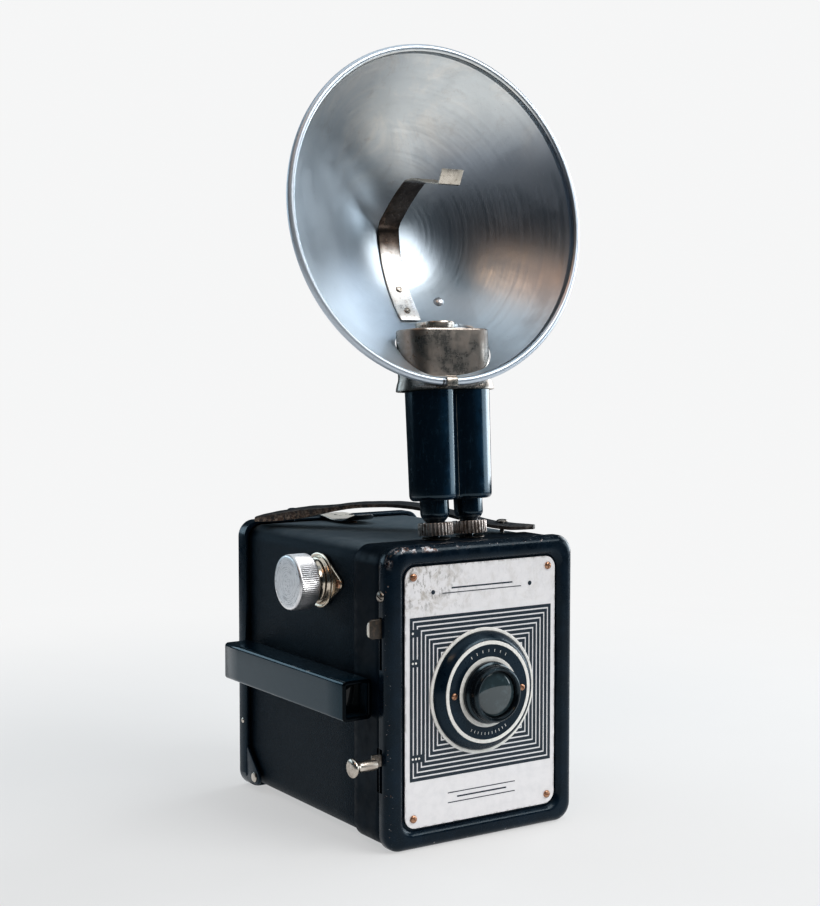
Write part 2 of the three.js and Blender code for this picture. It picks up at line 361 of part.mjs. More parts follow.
// ---------- leather strap and studs ----------
{
  const A = [-36.5, 102.5], B = [35.5, 15.5];
  const L = Math.hypot(B[0] - A[0], B[1] - A[1]), ang = Math.atan2(B[1] - A[1], B[0] - A[0]);
  const prof = [[0, 0.1], [0.06, 0.8], [0.13, 2.3], [0.2, 3.3], [0.28, 4.5], [0.36, 6.0], [0.46, 7.2], [0.54, 7.2], [0.64, 5.9], [0.74, 3.6], [0.84, 1.1], [0.92, 0.1], [1, 0.3]];
  const c = new THREE.CatmullRomCurve3(prof.map(([t, h]) => V((t - 0.5) * L, 0, 109.0 + h)));
  const N = 26, lo = [], hi = [];
  for (let i = 0; i <= N; i++) {
    const p = c.getPoint(i / N), q = c.getTangent(i / N), n = V(-q.z, 0, q.x);
    lo.push([p.x, p.z]); hi.push([p.x + n.x * 2.0, p.z + n.z * 2.0]);
  }
  let m = S(prY(poly([...lo, ...hi.reverse()]), -6.5, 6.5));
  const plan = new THREE.Shape();
  const h = L / 2;
  plan.moveTo(-h, -5.6); plan.lineTo(-h + 3, -6.4); plan.lineTo(h - 8, -6.4); plan.lineTo(h - 0.5, -1.6); plan.lineTo(h - 0.5, 1.6); plan.lineTo(h - 8, 6.4); plan.lineTo(-h + 3, 6.4); plan.lineTo(-h, 5.6); plan.closePath();
  m = m.intersect(S(prZ(plan, 90, 140)));
  const g = G(m).rotateZ(ang).translate((A[0] + B[0]) / 2, (A[1] + B[1]) / 2, 0);
  let s = S(g);
  for (const [x, y] of [[-27.5, 91.5], [27.5, 25.3]]) s = s.subtract(S(cyl(1.0, V(x, y, 100), pZ, 20, 14)));
  add('carry_strap', s, 'leather');
  for (const [n, x, y, z] of [['strap_stud_rear', -27.5, 91.5, 113.9], ['strap_stud_front', 27.5, 25.3, 112.0]])
    add(n, S(lat([[0, 105.6 - z], [0.8, 105.6 - z], [0.8, 0], [2.3, 0], [2.3, 0.4], [1.5, 1.0], [0, 1.2]], V(x, y, z), pZ, 18)), 'nickel');
}

// ---------- flash sockets in the camera top ----------
for (const [n, s] of [['flash_socket_l', -1], ['flash_socket_r', 1]])
  add(n, lat([[2.4, 0], [3.2, 0], [3.2, 9.95], [5.4, 9.95], [5.4, 10.4], [2.4, 10.4], [2.4, 0]], V(s * FLASH.half, FLASH.y, 98), pZ, 24), 'brass');

// ---------- flash gun, built upright then leaned ----------
const lean = new THREE.Group();
lean.name = 'flash_lean';
lean.position.set(0, FLASH.y, FLASH.z);
lean.rotation.set(THREE.MathUtils.degToRad(-FLASH.back), THREE.MathUtils.degToRad(-FLASH.left), 0);
frame.add(lean);
lean.updateMatrix();
for (const [tag, s] of [['l', -1], ['r', 1]]) {
  const u = s * FLASH.half;
  // knurled nut
  let n = S(prZ(knurl(NUT.r, 0.45, NUT.teeth), 0.9, NUT.h - 0.4)).add(S(cyl(NUT.r - 0.6, V(0, 0, 0.5), pZ, NUT.h - 0.5, 26))).translate([u, 0, 0]);
  n = n.subtract(S(cyl(NUT.bore, V(u, 0, -1), pZ, 10, 20)));
  add('knurled_nut_' + tag, n, 'nickel', lean);
  add('contact_pin_' + tag, lat([[0, -8], [1.0, -8], [1.4, -7.4], [1.4, 0.3], [3.35, 0.7], [3.35, 5.6], [5, 8.2], [5, 13.8], [0, 13.8]], V(u, 0, 0), pZ, 20), 'bakelite', lean);
  // case half: one lobe and half of the bridge
  const sx = s < 0 ? [-30, -0.12] : [0.12, 30];
  let c = S(lat([[0, CASE.bot], [7.2, CASE.bot], [8.3, CASE.bot + 0.6], [CASE.r0, CASE.bot + 2], [CASE.r1, CASE.top], [0, CASE.top]], V(u, 0, 0), pZ, 32));
  const br = S(prZ(poly([[-6, -6.9], [-3, -6.3], [3, -6.3], [6, -6.9], [6, 6.9], [3, 6.3], [-3, 6.3], [-6, 6.9]]), CASE.bot + 0.5, CASE.top));
  c = c.add(br).intersect(S(box(sx[0], sx[1], -12, 12, 0, 60)));
  c = c.subtract(S(cyl(7.35, V(u, 0, CASE.bot + 2), pZ, 60, 24)));
  add('case_half_' + tag, c, 'bakelite', lean);
  add('cell_' + tag, lat([[0, 17.4], [6.9, 17.4], [7.05, 17.9], [7.05, 66], [6.6, 66.4], [2.6, 66.4], [2.6, 67.6], [0, 67.6]], V(u, 0, 0), pZ, 24), 'cell', lean);
}
const stadium = (a, r) => {
  const s = new THREE.Shape();
  s.moveTo(-a, -r); s.lineTo(a, -r); s.absarc(a, 0, r, -Math.PI / 2, Math.PI / 2, false); s.lineTo(-a, r); s.absarc(-a, 0, r, Math.PI / 2, 1.5 * Math.PI, false);
  return s;
};
{
  const c = CUP;
  let m = S(prZ(stadium(c.a, c.r), c.bot, c.top, 9, 0.5, 1)).add(S(prZ(stadium(c.a, c.skirtR), c.bot, c.bot + 3.2, 9)));
  m = m.add(S(prZ(stadium(c.a, c.skirtR - 0.5), c.bot, c.bot + 4.4, 9)));
  m = m.subtract(S(prZ(stadium(c.a, c.r - c.wall), c.bot - 1, c.top - 0.9, 9)));
  m = m.subtract(S(cyl(7.5, V(-3, 0, 60), pZ, 30, 30)));
  add('socket_housing', m, 'nickel', lean);
  add('bulb_socket', lat([[0, 68.6], [7.1, 68.6], [7.1, 78.6], [7.35, 79.0], [6.7, 79.2], [6.4, 78.8], [6.4, 69.6], [0, 69.6]], V(-3, 0, 0), pZ, 30), 'nickel', lean);
}

// ---------- reflector bowl, arm, rivets, clip ----------
const bowlG = new THREE.Group();
bowlG.name = 'reflector_tilt';
const tilt = THREE.MathUtils.degToRad(BOWL.tilt), yaw = THREE.MathUtils.degToRad(BOWL.yaw);
bowlG.position.set(BOWL.x, BOWL.y, BOWL.z);
bowlG.rotation.set(-tilt, 0, yaw, 'ZXY');
frame.add(bowlG);
bowlG.updateMatrix();
// bowl frame: x right, y depth towards the vertex, z up in the rim plane
const B = BOWL, depthAt = (r) => B.depth * (1 - (r / (B.R - 1.2)) ** 2);
const M = new THREE.Matrix4().copy(bowlG.matrix).invert().multiply(lean.matrix);
const inBowl = (g) => g.applyMatrix4(M);
const onWall = (x, z) => { const r = Math.hypot(x, z), k = 2 * B.depth * r / (B.R - 1.2) ** 2, n = V(-x / r * k, -1, -z / r * k).normalize(); return [V(x, depthAt(r), z), n]; };
const RIV = [['arm_rivet_upper', 0, -22.7], ['arm_rivet_lower', 0, -31.8], ['bowl_rivet', 15, -27.5]];
{
  const pts = [], rIn = B.R - 1.2;
  const N = 10;
  for (let i = 0; i <= N; i++) { const r = rIn * i / N; pts.push([r, -depthAt(r)]); }
  // rolled bead
  for (const a of [140, 70, 10, -50, -110]) pts.push([B.R - B.bead + 0.0 + B.bead * Math.cos(a * Math.PI / 180) + 0.0, B.bead * Math.sin(a * Math.PI / 180) - 0.2]);
  for (let i = N - 1; i >= 0; i--) { const r = rIn * i / N; pts.push([r, -depthAt(r) - B.t - (i > N - 3 ? 0.2 : 0)]); }
  pts[0][0] = 0; pts[pts.length - 1][0] = 0;
  let m = S(lat(pts.reverse(), V(0, 0, 0), nY, 52));
  if (m.volume() < 0) m = S(lat(pts.reverse(), V(0, 0, 0), nY, 52));
  m = m.subtract(S(inBowl(prZ(stadium(CUP.a, CUP.r + 0.6), CUP.bot + 3.0, CUP.top + 3.5, 9))));
  m = m.subtract(S(inBowl(cyl(7.9, V(-3, 0, 60), pZ, 22, 30))));
  for (const [, x, z] of RIV) { const [p, n] = onWall(x, z); m = m.subtract(S(cyl(0.95, p.clone().addScaledVector(n, -4), n, 8, 12))); }
  const ps = m.decompose(); ps.sort((a, b) => b.volume() - a.volume());
  m = ps[0];
  add('reflector_bowl', m, 'spun', bowlG);

  // arm: strip that climbs the wall, leaves it at the vertex and bends forward
  const q = [];
  for (const z of [-34.6, -31.8, -27, -22.7, -17, -11, -6]) { const [p, n] = onWall(0, z); q.push([p.y + n.y * 0.55, p.z + n.z * 0.55]); }
  q.push([38.3, -1], [38.0, 3.2], [32.5, 7.4], [27.1, 10.8], [16.5, 16.2], [11.0, 15.9], [2.6, 12.6], [-6.4, 9.9], [-9.5, 14.4]);
  const off = [];
  for (let i = 0; i < q.length; i++) {
    const a = q[Math.max(0, i - 1)], b = q[Math.min(q.length - 1, i + 1)];
    const dx = b[0] - a[0], dz = b[1] - a[1], l = Math.hypot(dx, dz);
    off.push([q[i][0] - dz / l * ARM.t, q[i][1] + dx / l * ARM.t]);
  }
  let arm = S(prX(poly([...q, ...off.reverse()]), -ARM.w / 2, ARM.w / 2));
  for (const [, x, z] of RIV.slice(0, 2)) { const [p, n] = onWall(x, z); arm = arm.subtract(S(cyl(0.95, p.clone().addScaledVector(n, -4), n, 8, 12))); }
  add('bulb_arm', arm, 'nickel', bowlG);
  for (const [nm, x, z] of RIV) {
    const [p, n] = onWall(x, z), lift = nm === "bowl_rivet" ? 0.3 : 1.4;
    add(nm, S(domeScrew(p.clone().addScaledVector(n, lift), n, nm === 'bowl_rivet' ? 1.9 : 1.35, nm === 'bowl_rivet' ? 1.2 : 0.6, 0.7, lift + 2.4)), nm === 'bowl_rivet' ? 'spun' : 'nickel', bowlG);
  }
  // clip: hooks the bead to the housing's skirt
  const zr = -(B.R), cl = [[-2.4, zr + 3.2], [-2.4, zr - 0.7], [1.9, zr - 0.7], [1.9, zr - 0.15], [-1.85, zr - 0.15], [-1.85, zr + 3.2]];
  add('rim_clip', prX(poly(cl), -3.1, 1.4), 'nickel', bowlG);
}

export default root;
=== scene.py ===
import bpy, bmesh, math, json
from mathutils import Vector, Matrix


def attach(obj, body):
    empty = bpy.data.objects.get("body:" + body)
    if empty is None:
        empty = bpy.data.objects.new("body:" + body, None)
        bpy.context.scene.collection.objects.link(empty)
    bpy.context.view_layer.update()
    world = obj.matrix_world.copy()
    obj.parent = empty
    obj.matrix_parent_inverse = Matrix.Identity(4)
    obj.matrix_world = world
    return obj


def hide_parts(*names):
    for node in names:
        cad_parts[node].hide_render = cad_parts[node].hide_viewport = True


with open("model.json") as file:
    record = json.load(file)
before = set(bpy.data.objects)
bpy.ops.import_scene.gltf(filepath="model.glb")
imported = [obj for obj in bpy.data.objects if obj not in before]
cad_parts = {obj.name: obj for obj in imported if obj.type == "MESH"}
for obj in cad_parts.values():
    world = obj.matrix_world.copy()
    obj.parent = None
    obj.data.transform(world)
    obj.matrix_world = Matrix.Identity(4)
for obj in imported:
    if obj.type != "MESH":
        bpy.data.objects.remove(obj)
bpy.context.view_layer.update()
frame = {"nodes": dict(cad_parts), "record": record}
NODES = frame["nodes"]
MM = 0.001
rad = math.radians

# ------------------------------------------------------------------ dimensions (mm, plate plane at y = 0)
LZ = 54.1
LEAN = Matrix.Translation((0, 18.7, 108.8)) @ Matrix.Rotation(rad(-5.5), 4, 'X')
BOWL = Matrix.Translation((-5.3, 19.0, 226.9)) @ Matrix.Rotation(rad(-1.9), 4, 'Z') @ Matrix.Rotation(rad(-7.0), 4, 'X')
BR, BD, BB, BT = 62.8, 39.0, 1.5, 0.9
ID = Matrix.Identity(4)


# ------------------------------------------------------------------ mesh helpers
def make(name, verts, faces, body, mat, reps=(), M=ID, angle=35, slot=None, bevel=0.0, bseg=2, sub=0, fix=True):
    me = bpy.data.meshes.new(name)
    me.from_pydata([tuple(M @ Vector(v)) for v in verts], [], faces)
    o = bpy.data.objects.new(name, me)
    bpy.context.scene.collection.objects.link(o)
    bm = bmesh.new(); bm.from_mesh(me)
    bmesh.ops.remove_doubles(bm, verts=bm.verts, dist=1e-4)
    bmesh.ops.dissolve_degenerate(bm, edges=bm.edges, dist=1e-5)
    if fix:
        bmesh.ops.recalc_face_normals(bm, faces=bm.faces)
    bmesh.ops.translate(bm, verts=bm.verts, vec=(0, -3, 0))
    bmesh.ops.scale(bm, verts=bm.verts, vec=(MM, MM, MM))
    bm.to_mesh(me); bm.free()
    if bevel:
        b = o.modifiers.new("Bevel", 'BEVEL'); b.width = bevel * MM; b.segments = bseg; b.limit_method = 'ANGLE'; b.angle_limit = rad(30); b.harden_normals = False
        apply_mods(o)
    finish(o, mat, angle, sub)
    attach(o, body)
    if reps:
        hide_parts(*reps)
    return o


def finish(o, mat, angle=35, sub=0):
    me = o.data
    me.materials.clear(); me.materials.append(mat)
    for p in me.polygons:
        p.use_smooth = True
    me.set_sharp_from_angle(angle=rad(angle))


def apply_mods(o):
    bpy.context.view_layer.update()
    dg = bpy.context.evaluated_depsgraph_get()
    new = bpy.data.meshes.new_from_object(o.evaluated_get(dg))
    old = o.data
    o.modifiers.clear(); o.data = new
    bpy.data.meshes.remove(old)


def tool(verts, faces, M=ID):
    me = bpy.data.meshes.new("tool")
    me.from_pydata([tuple((M @ Vector(v) + Vector((0, -3, 0))) * MM) for v in verts], [], faces)
    o = bpy.data.objects.new("tool", me)
    bm = bmesh.new(); bm.from_mesh(me); bmesh.ops.remove_doubles(bm, verts=bm.verts, dist=1e-7)
    bmesh.ops.recalc_face_normals(bm, faces=bm.faces); bm.to_mesh(me); bm.free()
    bpy.context.scene.collection.objects.link(o)
    return o


def cut(o, tools, mat=None, angle=35, op='DIFFERENCE'):
    for t in tools:
        m = o.modifiers.new("b", 'BOOLEAN'); m.operation = op; m.object = t; m.solver = 'EXACT'
    apply_mods(o)
    for t in tools:
        me = t.data; bpy.data.objects.remove(t); bpy.data.meshes.remove(me)
    mats = [m for m in o.data.materials if m]
    finish(o, mat or mats[0], angle)
    return o


def rr(x0, x1, z0, z1, r, n=10):
    pts = []
    for cx, cz, a0 in ((x1 - r, z0 + r, -90), (x1 - r, z1 - r, 0), (x0 + r, z1 - r, 90), (x0 + r, z0 + r, 180)):
        for i in range(n + 1):
            a = rad(a0 + 90.0 * i / n)
            pts.append((cx + r * math.cos(a), cz + r * math.sin(a)))
    return pts


def loft(rings, cap0=True, cap1=True, loop=False):
    v, f = [], []
    n = len(rings[0])
    for r in rings:
        v += r
    m = len(rings)
    for j in range(m if loop else m - 1):
        a, b = j * n, ((j + 1) % m) * n
        for i in range(n):
            k = (i + 1) % n
            f.append((a + i, a + k, b + k, b + i))
    if not loop:
        if cap0: f.append(tuple(range(n - 1, -1, -1)))
        if cap1: f.append(tuple(range((m - 1) * n, m * n)))
    return v, f


def secY(secs, n=10):
    # sections (x0, x1, z0, z1, r, y)
    return [[(a, y, b) for a, b in rr(x0, x1, z0, z1, r, n)] for x0, x1, z0, z1, r, y in secs]


def axisM(p, d):
    return Matrix.Translation(p) @ Vector((0, 0, 1)).rotation_difference(Vector(d).normalized()).to_matrix().to_4x4()


def lathe(prof, seg=64, closed=False):
    v, f = [], []
    n = len(prof)
    for i in range(seg):
        a = 2 * math.pi * i / seg
        for r, h in prof:
            v.append((r * math.cos(a), r * math.sin(a), h))
    for i in range(seg):
        k = (i + 1) % seg
        for j in range(n if closed else n - 1):
            l = (j + 1) % n
            f.append((i * n + j, k * n + j, k * n + l, i * n + l))
    return v, f


def boxv(x0, x1, y0, y1, z0, z1):
    v = [(x, y, z) for z in (z0, z1) for y in (y0, y1) for x in (x0, x1)]
    return v, [(0, 2, 3, 1), (4, 5, 7, 6), (0, 1, 5, 4), (2, 6, 7, 3), (0, 4, 6, 2), (1, 3, 7, 5)]


def merge(*parts):
    v, f = [], []
    for pv, pf in parts:
        o = len(v); v += list(pv); f += [tuple(i + o for i in q) for q in pf]
    return v, f


def moved(vf, M):
    return [tuple(M @ Vector(p)) for p in vf[0]], vf[1]


def prism(pts, axis, a0, a1):
    def P(p, t):
        return {'X': (t, p[0], p[1]), 'Y': (p[0], t, p[1]), 'Z': (p[0], p[1], t)}[axis]
    n = len(pts)
    v = [P(p, a0) for p in pts] + [P(p, a1) for p in pts]
    f = [tuple(range(n - 1, -1, -1)), tuple(range(n, 2 * n))] + [(i, (i + 1) % n, n + (i + 1) % n, n + i) for i in range(n)]
    return v, f


# ------------------------------------------------------------------ materials
class Mat:
    def __init__(s, name, base=(0.5, 0.5, 0.5), rough=0.4, metal=0.0, **kw):
        s.m = bpy.data.materials.new(name); s.m.use_nodes = True; s.t = s.m.node_tree
        s.t.nodes.clear()
        s.out = s.n('ShaderNodeOutputMaterial'); s.b = s.n('ShaderNodeBsdfPrincipled')
        s.l(s.b.outputs[0], s.out.inputs[0])
        s.set('Base Color', (*base, 1)); s.set('Roughness', rough); s.set('Metallic', metal)
        for k, v in kw.items():
            s.set(k.replace('_', ' '), v)
        tc = s.n('ShaderNodeTexCoord')
        vm = s.n('ShaderNodeVectorMath'); vm.operation = 'SCALE'; s.l(tc.outputs['Object'], vm.inputs[0]); vm.inputs['Scale'].default_value = 1000.0
        off = s.n('ShaderNodeVectorMath'); off.operation = 'ADD'; s.l(vm.outputs[0], off.inputs[0]); off.inputs[1].default_value = (0, 3, 0)
        s.P = off.outputs[0]
        sp = s.n('ShaderNodeSeparateXYZ'); s.l(s.P, sp.inputs[0]); s.x, s.y, s.z = sp.outputs
        s.h = None

    def n(s, t): return s.t.nodes.new(t)
    def l(s, a, b): s.t.links.new(a, b)
    def set(s, k, v):
        i = s.b.inputs[k]
        if hasattr(v, 'is_linked') or hasattr(v, 'links'): s.l(v, i)
        else: i.default_value = v
    def put(s, sock, v):
        if isinstance(v, bpy.types.NodeSocket): s.l(v, sock)
        elif isinstance(v, (tuple, list)) and len(v) == 3 and sock.type == 'RGBA': sock.default_value = (*v, 1)
        else: sock.default_value = v
    def math(s, op, a, b=0.0, c=None, clamp=False):
        m = s.n('ShaderNodeMath'); m.operation = op; m.use_clamp = clamp
        s.put(m.inputs[0], a); s.put(m.inputs[1], b)
        if c is not None: s.put(m.inputs[2], c)
        return m.outputs[0]
    def scale(s, v, x, y, z):
        m = s.n('ShaderNodeMapping'); s.l(v, m.inputs[0]); m.inputs['Scale'].default_value = (x, y, z); return m.outputs[0]
    def noise(s, sc, det=3.0, ro=0.5, vec=None, dist=0.0):
        m = s.n('ShaderNodeTexNoise'); s.l(vec or s.P, m.inputs['Vector']); m.inputs['Scale'].default_value = sc
        m.inputs['Detail'].default_value = det; m.inputs['Roughness'].default_value = ro; m.inputs['Distortion'].default_value = dist
        return m.outputs[0]
    def vor(s, sc, vec=None, feat='F1'):
        m = s.n('ShaderNodeTexVoronoi'); s.l(vec or s.P, m.inputs['Vector']); m.inputs['Scale'].default_value = sc; m.feature = feat
        return m.outputs[0]
    def ramp(s, f, stops):
        m = s.n('ShaderNodeValToRGB'); s.l(f, m.inputs[0]); e = m.color_ramp.elements
        while len(e) < len(stops): e.new(0.5)
        for el, (p, c) in zip(e, stops):
            el.position = p; el.color = (c, c, c, 1) if isinstance(c, (int, float)) else (*c, 1)
        return m.outputs[0]
    def step(s, f, a, b):
        m = s.n('ShaderNodeMapRange'); s.put(m.inputs[0], f); m.inputs[1].default_value = a; m.inputs[2].default_value = b
        m.interpolation_type = 'SMOOTHSTEP'; return m.outputs[0]
    def mix(s, f, a, b):
        m = s.n('ShaderNodeMix'); m.data_type = 'RGBA'; s.put(m.inputs[0], f); s.put(m.inputs[6], a); s.put(m.inputs[7], b); return m.outputs[2]
    def mixf(s, f, a, b):
        m = s.n('ShaderNodeMix'); m.data_type = 'FLOAT'; s.put(m.inputs[0], f); s.put(m.inputs[2], a); s.put(m.inputs[3], b); return m.outputs[0]
    def bump(s, h, strength, dist=0.1):
        m = s.n('ShaderNodeBump'); s.l(h, m.inputs['Height']); m.inputs['Strength'].default_value = strength; m.inputs['Distance'].default_value = dist * MM
        if s.h is not None: s.l(s.h, m.inputs['Normal'])
        s.h = m.outputs[0]; s.l(s.h, s.b.inputs['Normal'])
        return s


def enamel(name, chips=0.0, base=(0.0022, 0.0082, 0.0165), rough=0.27, bump=0.12, coat=0.16, spec=0.36):
    m = Mat(name, base, rough, 0.0)
    blot = m.noise(0.09, 4, 0.6)
    fine = m.noise(1.6, 3, 0.6)
    dust = m.step(m.noise(2.6, 2, 0.7), 0.64, 0.74)
    col = m.mix(m.step(blot, 0.35, 0.7), base, tuple(c * 1.7 + 0.001 for c in base))
    col = m.mix(m.math('MULTIPLY', dust, 0.10), col, (0.06, 0.08, 0.10))
    ro = m.math('ADD', m.math('MULTIPLY', m.step(m.noise(0.25, 4, 0.65), 0.3, 0.75), 0.22), rough - 0.06)
    metal = 0.0
    if chips:
        # wear where the edges are rubbed: front rim, corners and recess lip
        ax = m.math('ABSOLUTE', m.x)
        ex = m.step(ax, 38.6, 40.8)
        ez = m.math('MAXIMUM', m.step(m.z, 105.6, 107.8), m.step(m.math('MULTIPLY', m.z, -1), -2.6, -0.6))
        side = m.math('MAXIMUM', ex, ez)
        front = m.step(m.math('MULTIPLY', m.y, -1), -1.6, 0.2)
        rim = m.math('MULTIPLY', side, front)
        big = m.step(m.noise(0.15, 6, 0.72), 0.515, 0.545)
        small = m.step(m.noise(0.8, 3, 0.6), 0.655, 0.685)
        top = m.step(m.z, 100, 106)
        left = m.step(m.math('MULTIPLY', m.x, -1), 2, 20)
        worn = m.math('MULTIPLY', m.math('MULTIPLY', rim, m.math('MULTIPLY', top, left)), big)
        specks = m.math('MULTIPLY', m.math('MULTIPLY', rim, small), 0.9)
        mask = m.math('MAXIMUM', worn, specks, clamp=True)
        bare = m.mix(m.step(m.noise(0.7, 4, 0.6), 0.40, 0.58), (0.62, 0.62, 0.64), (0.20, 0.10, 0.065))
        col = m.mix(mask, col, bare)
        ro = m.mixf(mask, ro, 0.5)
        metal = m.math('MULTIPLY', mask, 0.55)
        m.bump(mask, 0.5, -0.12)
    m.set('Base Color', col); m.set('Roughness', ro)
    if chips: m.set('Metallic', metal)
    m.bump(fine, bump, 0.05)
    m.bump(m.noise(0.35, 3, 0.5), 0.25, 0.12)
    m.set('Coat Weight', coat); m.set('Coat Roughness', 0.14); m.set('Specular IOR Level', spec); m.set('Specular Tint', (0.55, 0.82, 1.0, 1))
    return m.m


def wrinkle(name):
    base = (0.0014, 0.0046, 0.0090)
    m = Mat(name, base, 0.42, 0.0)
    cells = m.vor(2.3, m.scale(m.P, 1, 1, 1)); n2 = m.noise(2.2, 4, 0.6)
    up = m.step(m.z, 104.5, 107.0)
    dusty = m.math('MULTIPLY', m.step(m.noise(0.12, 4, 0.6), 0.35, 0.7), up)
    col = m.mix(m.step(n2, 0.45, 0.7), base, (0.0035, 0.0090, 0.0150))
    speck = m.step(m.noise(1.3, 3, 0.7), 0.60, 0.68)
    col = m.mix(m.math('MULTIPLY', speck, 0.5), col, (0.022, 0.038, 0.052))
    fine = m.step(m.noise(2.6, 3, 0.8), 0.56, 0.66)
    col = m.mix(m.math('MULTIPLY', fine, 0.6), col, (0.040, 0.078, 0.115))
    # the top is painted paler: partly dust, partly painted light falling on the top from above
    col = m.mix(m.math('MULTIPLY', up, 0.62), col, (0.125, 0.155, 0.175))
    col = m.mix(m.math('MULTIPLY', m.math('MULTIPLY', dusty, m.step(m.noise(1.8, 3, 0.7), 0.38, 0.62)), 0.75), col, (0.17, 0.185, 0.19))
    sc = m.step(m.noise(1.0, 3, 0.6, m.scale(m.P, 0.15, 1.0, 2.6)), 0.70, 0.74)
    col = m.mix(m.math('MULTIPLY', sc, 0.16), col, (0.08, 0.09, 0.10))
    m.set('Base Color', col)
    m.set('Roughness', m.mixf(up, 0.42, 0.5)); m.set('Specular IOR Level', m.mixf(up, 0.17, 0.5)); m.set('Specular Tint', (0.38, 0.72, 1.0, 1))
    m.bump(cells, 0.8, 0.16); m.bump(n2, 0.8, 0.14); m.bump(m.noise(0.06, 2, 0.5), 0.3, 0.4)
    return m.m


def metal(name, base, rough, tarn=None, tamt=0.5, scratch=0.5, aniso=None, spots=0.0, mt=1.0, tscale=0.22):
    m = Mat(name, base, rough, mt)
    a = m.step(m.noise(tscale, 5, 0.65), 0.38, 0.70)
    col = m.mix(m.math('MULTIPLY', a, tamt), base, tarn or tuple(c * 0.6 for c in base))
    s1 = m.noise(1.0, 4, 0.7, m.scale(m.P, 0.35, 0.35, 6.0)); s2 = m.noise(1.0, 4, 0.7, m.scale(m.P, 5.0, 0.4, 0.5))
    fine = m.math('MULTIPLY', m.math('ADD', s1, s2), 0.5)
    if spots:
        sp = m.step(m.noise(0.9, 3, 0.6), 0.66 - 0.06 * spots, 0.70)
        col = m.mix(m.math('MULTIPLY', sp, 0.8), col, (0.10, 0.055, 0.03))
    m.set('Base Color', col)
    m.set('Roughness', m.math('ADD', m.math('MULTIPLY', a, 0.18), m.math('ADD', m.math('MULTIPLY', m.step(fine, 0.4, 0.7), 0.10), rough - 0.06)))
    m.bump(fine, scratch * 0.22, 0.03); m.bump(m.noise(0.5, 3, 0.5), 0.12, 0.08)
    return m.m


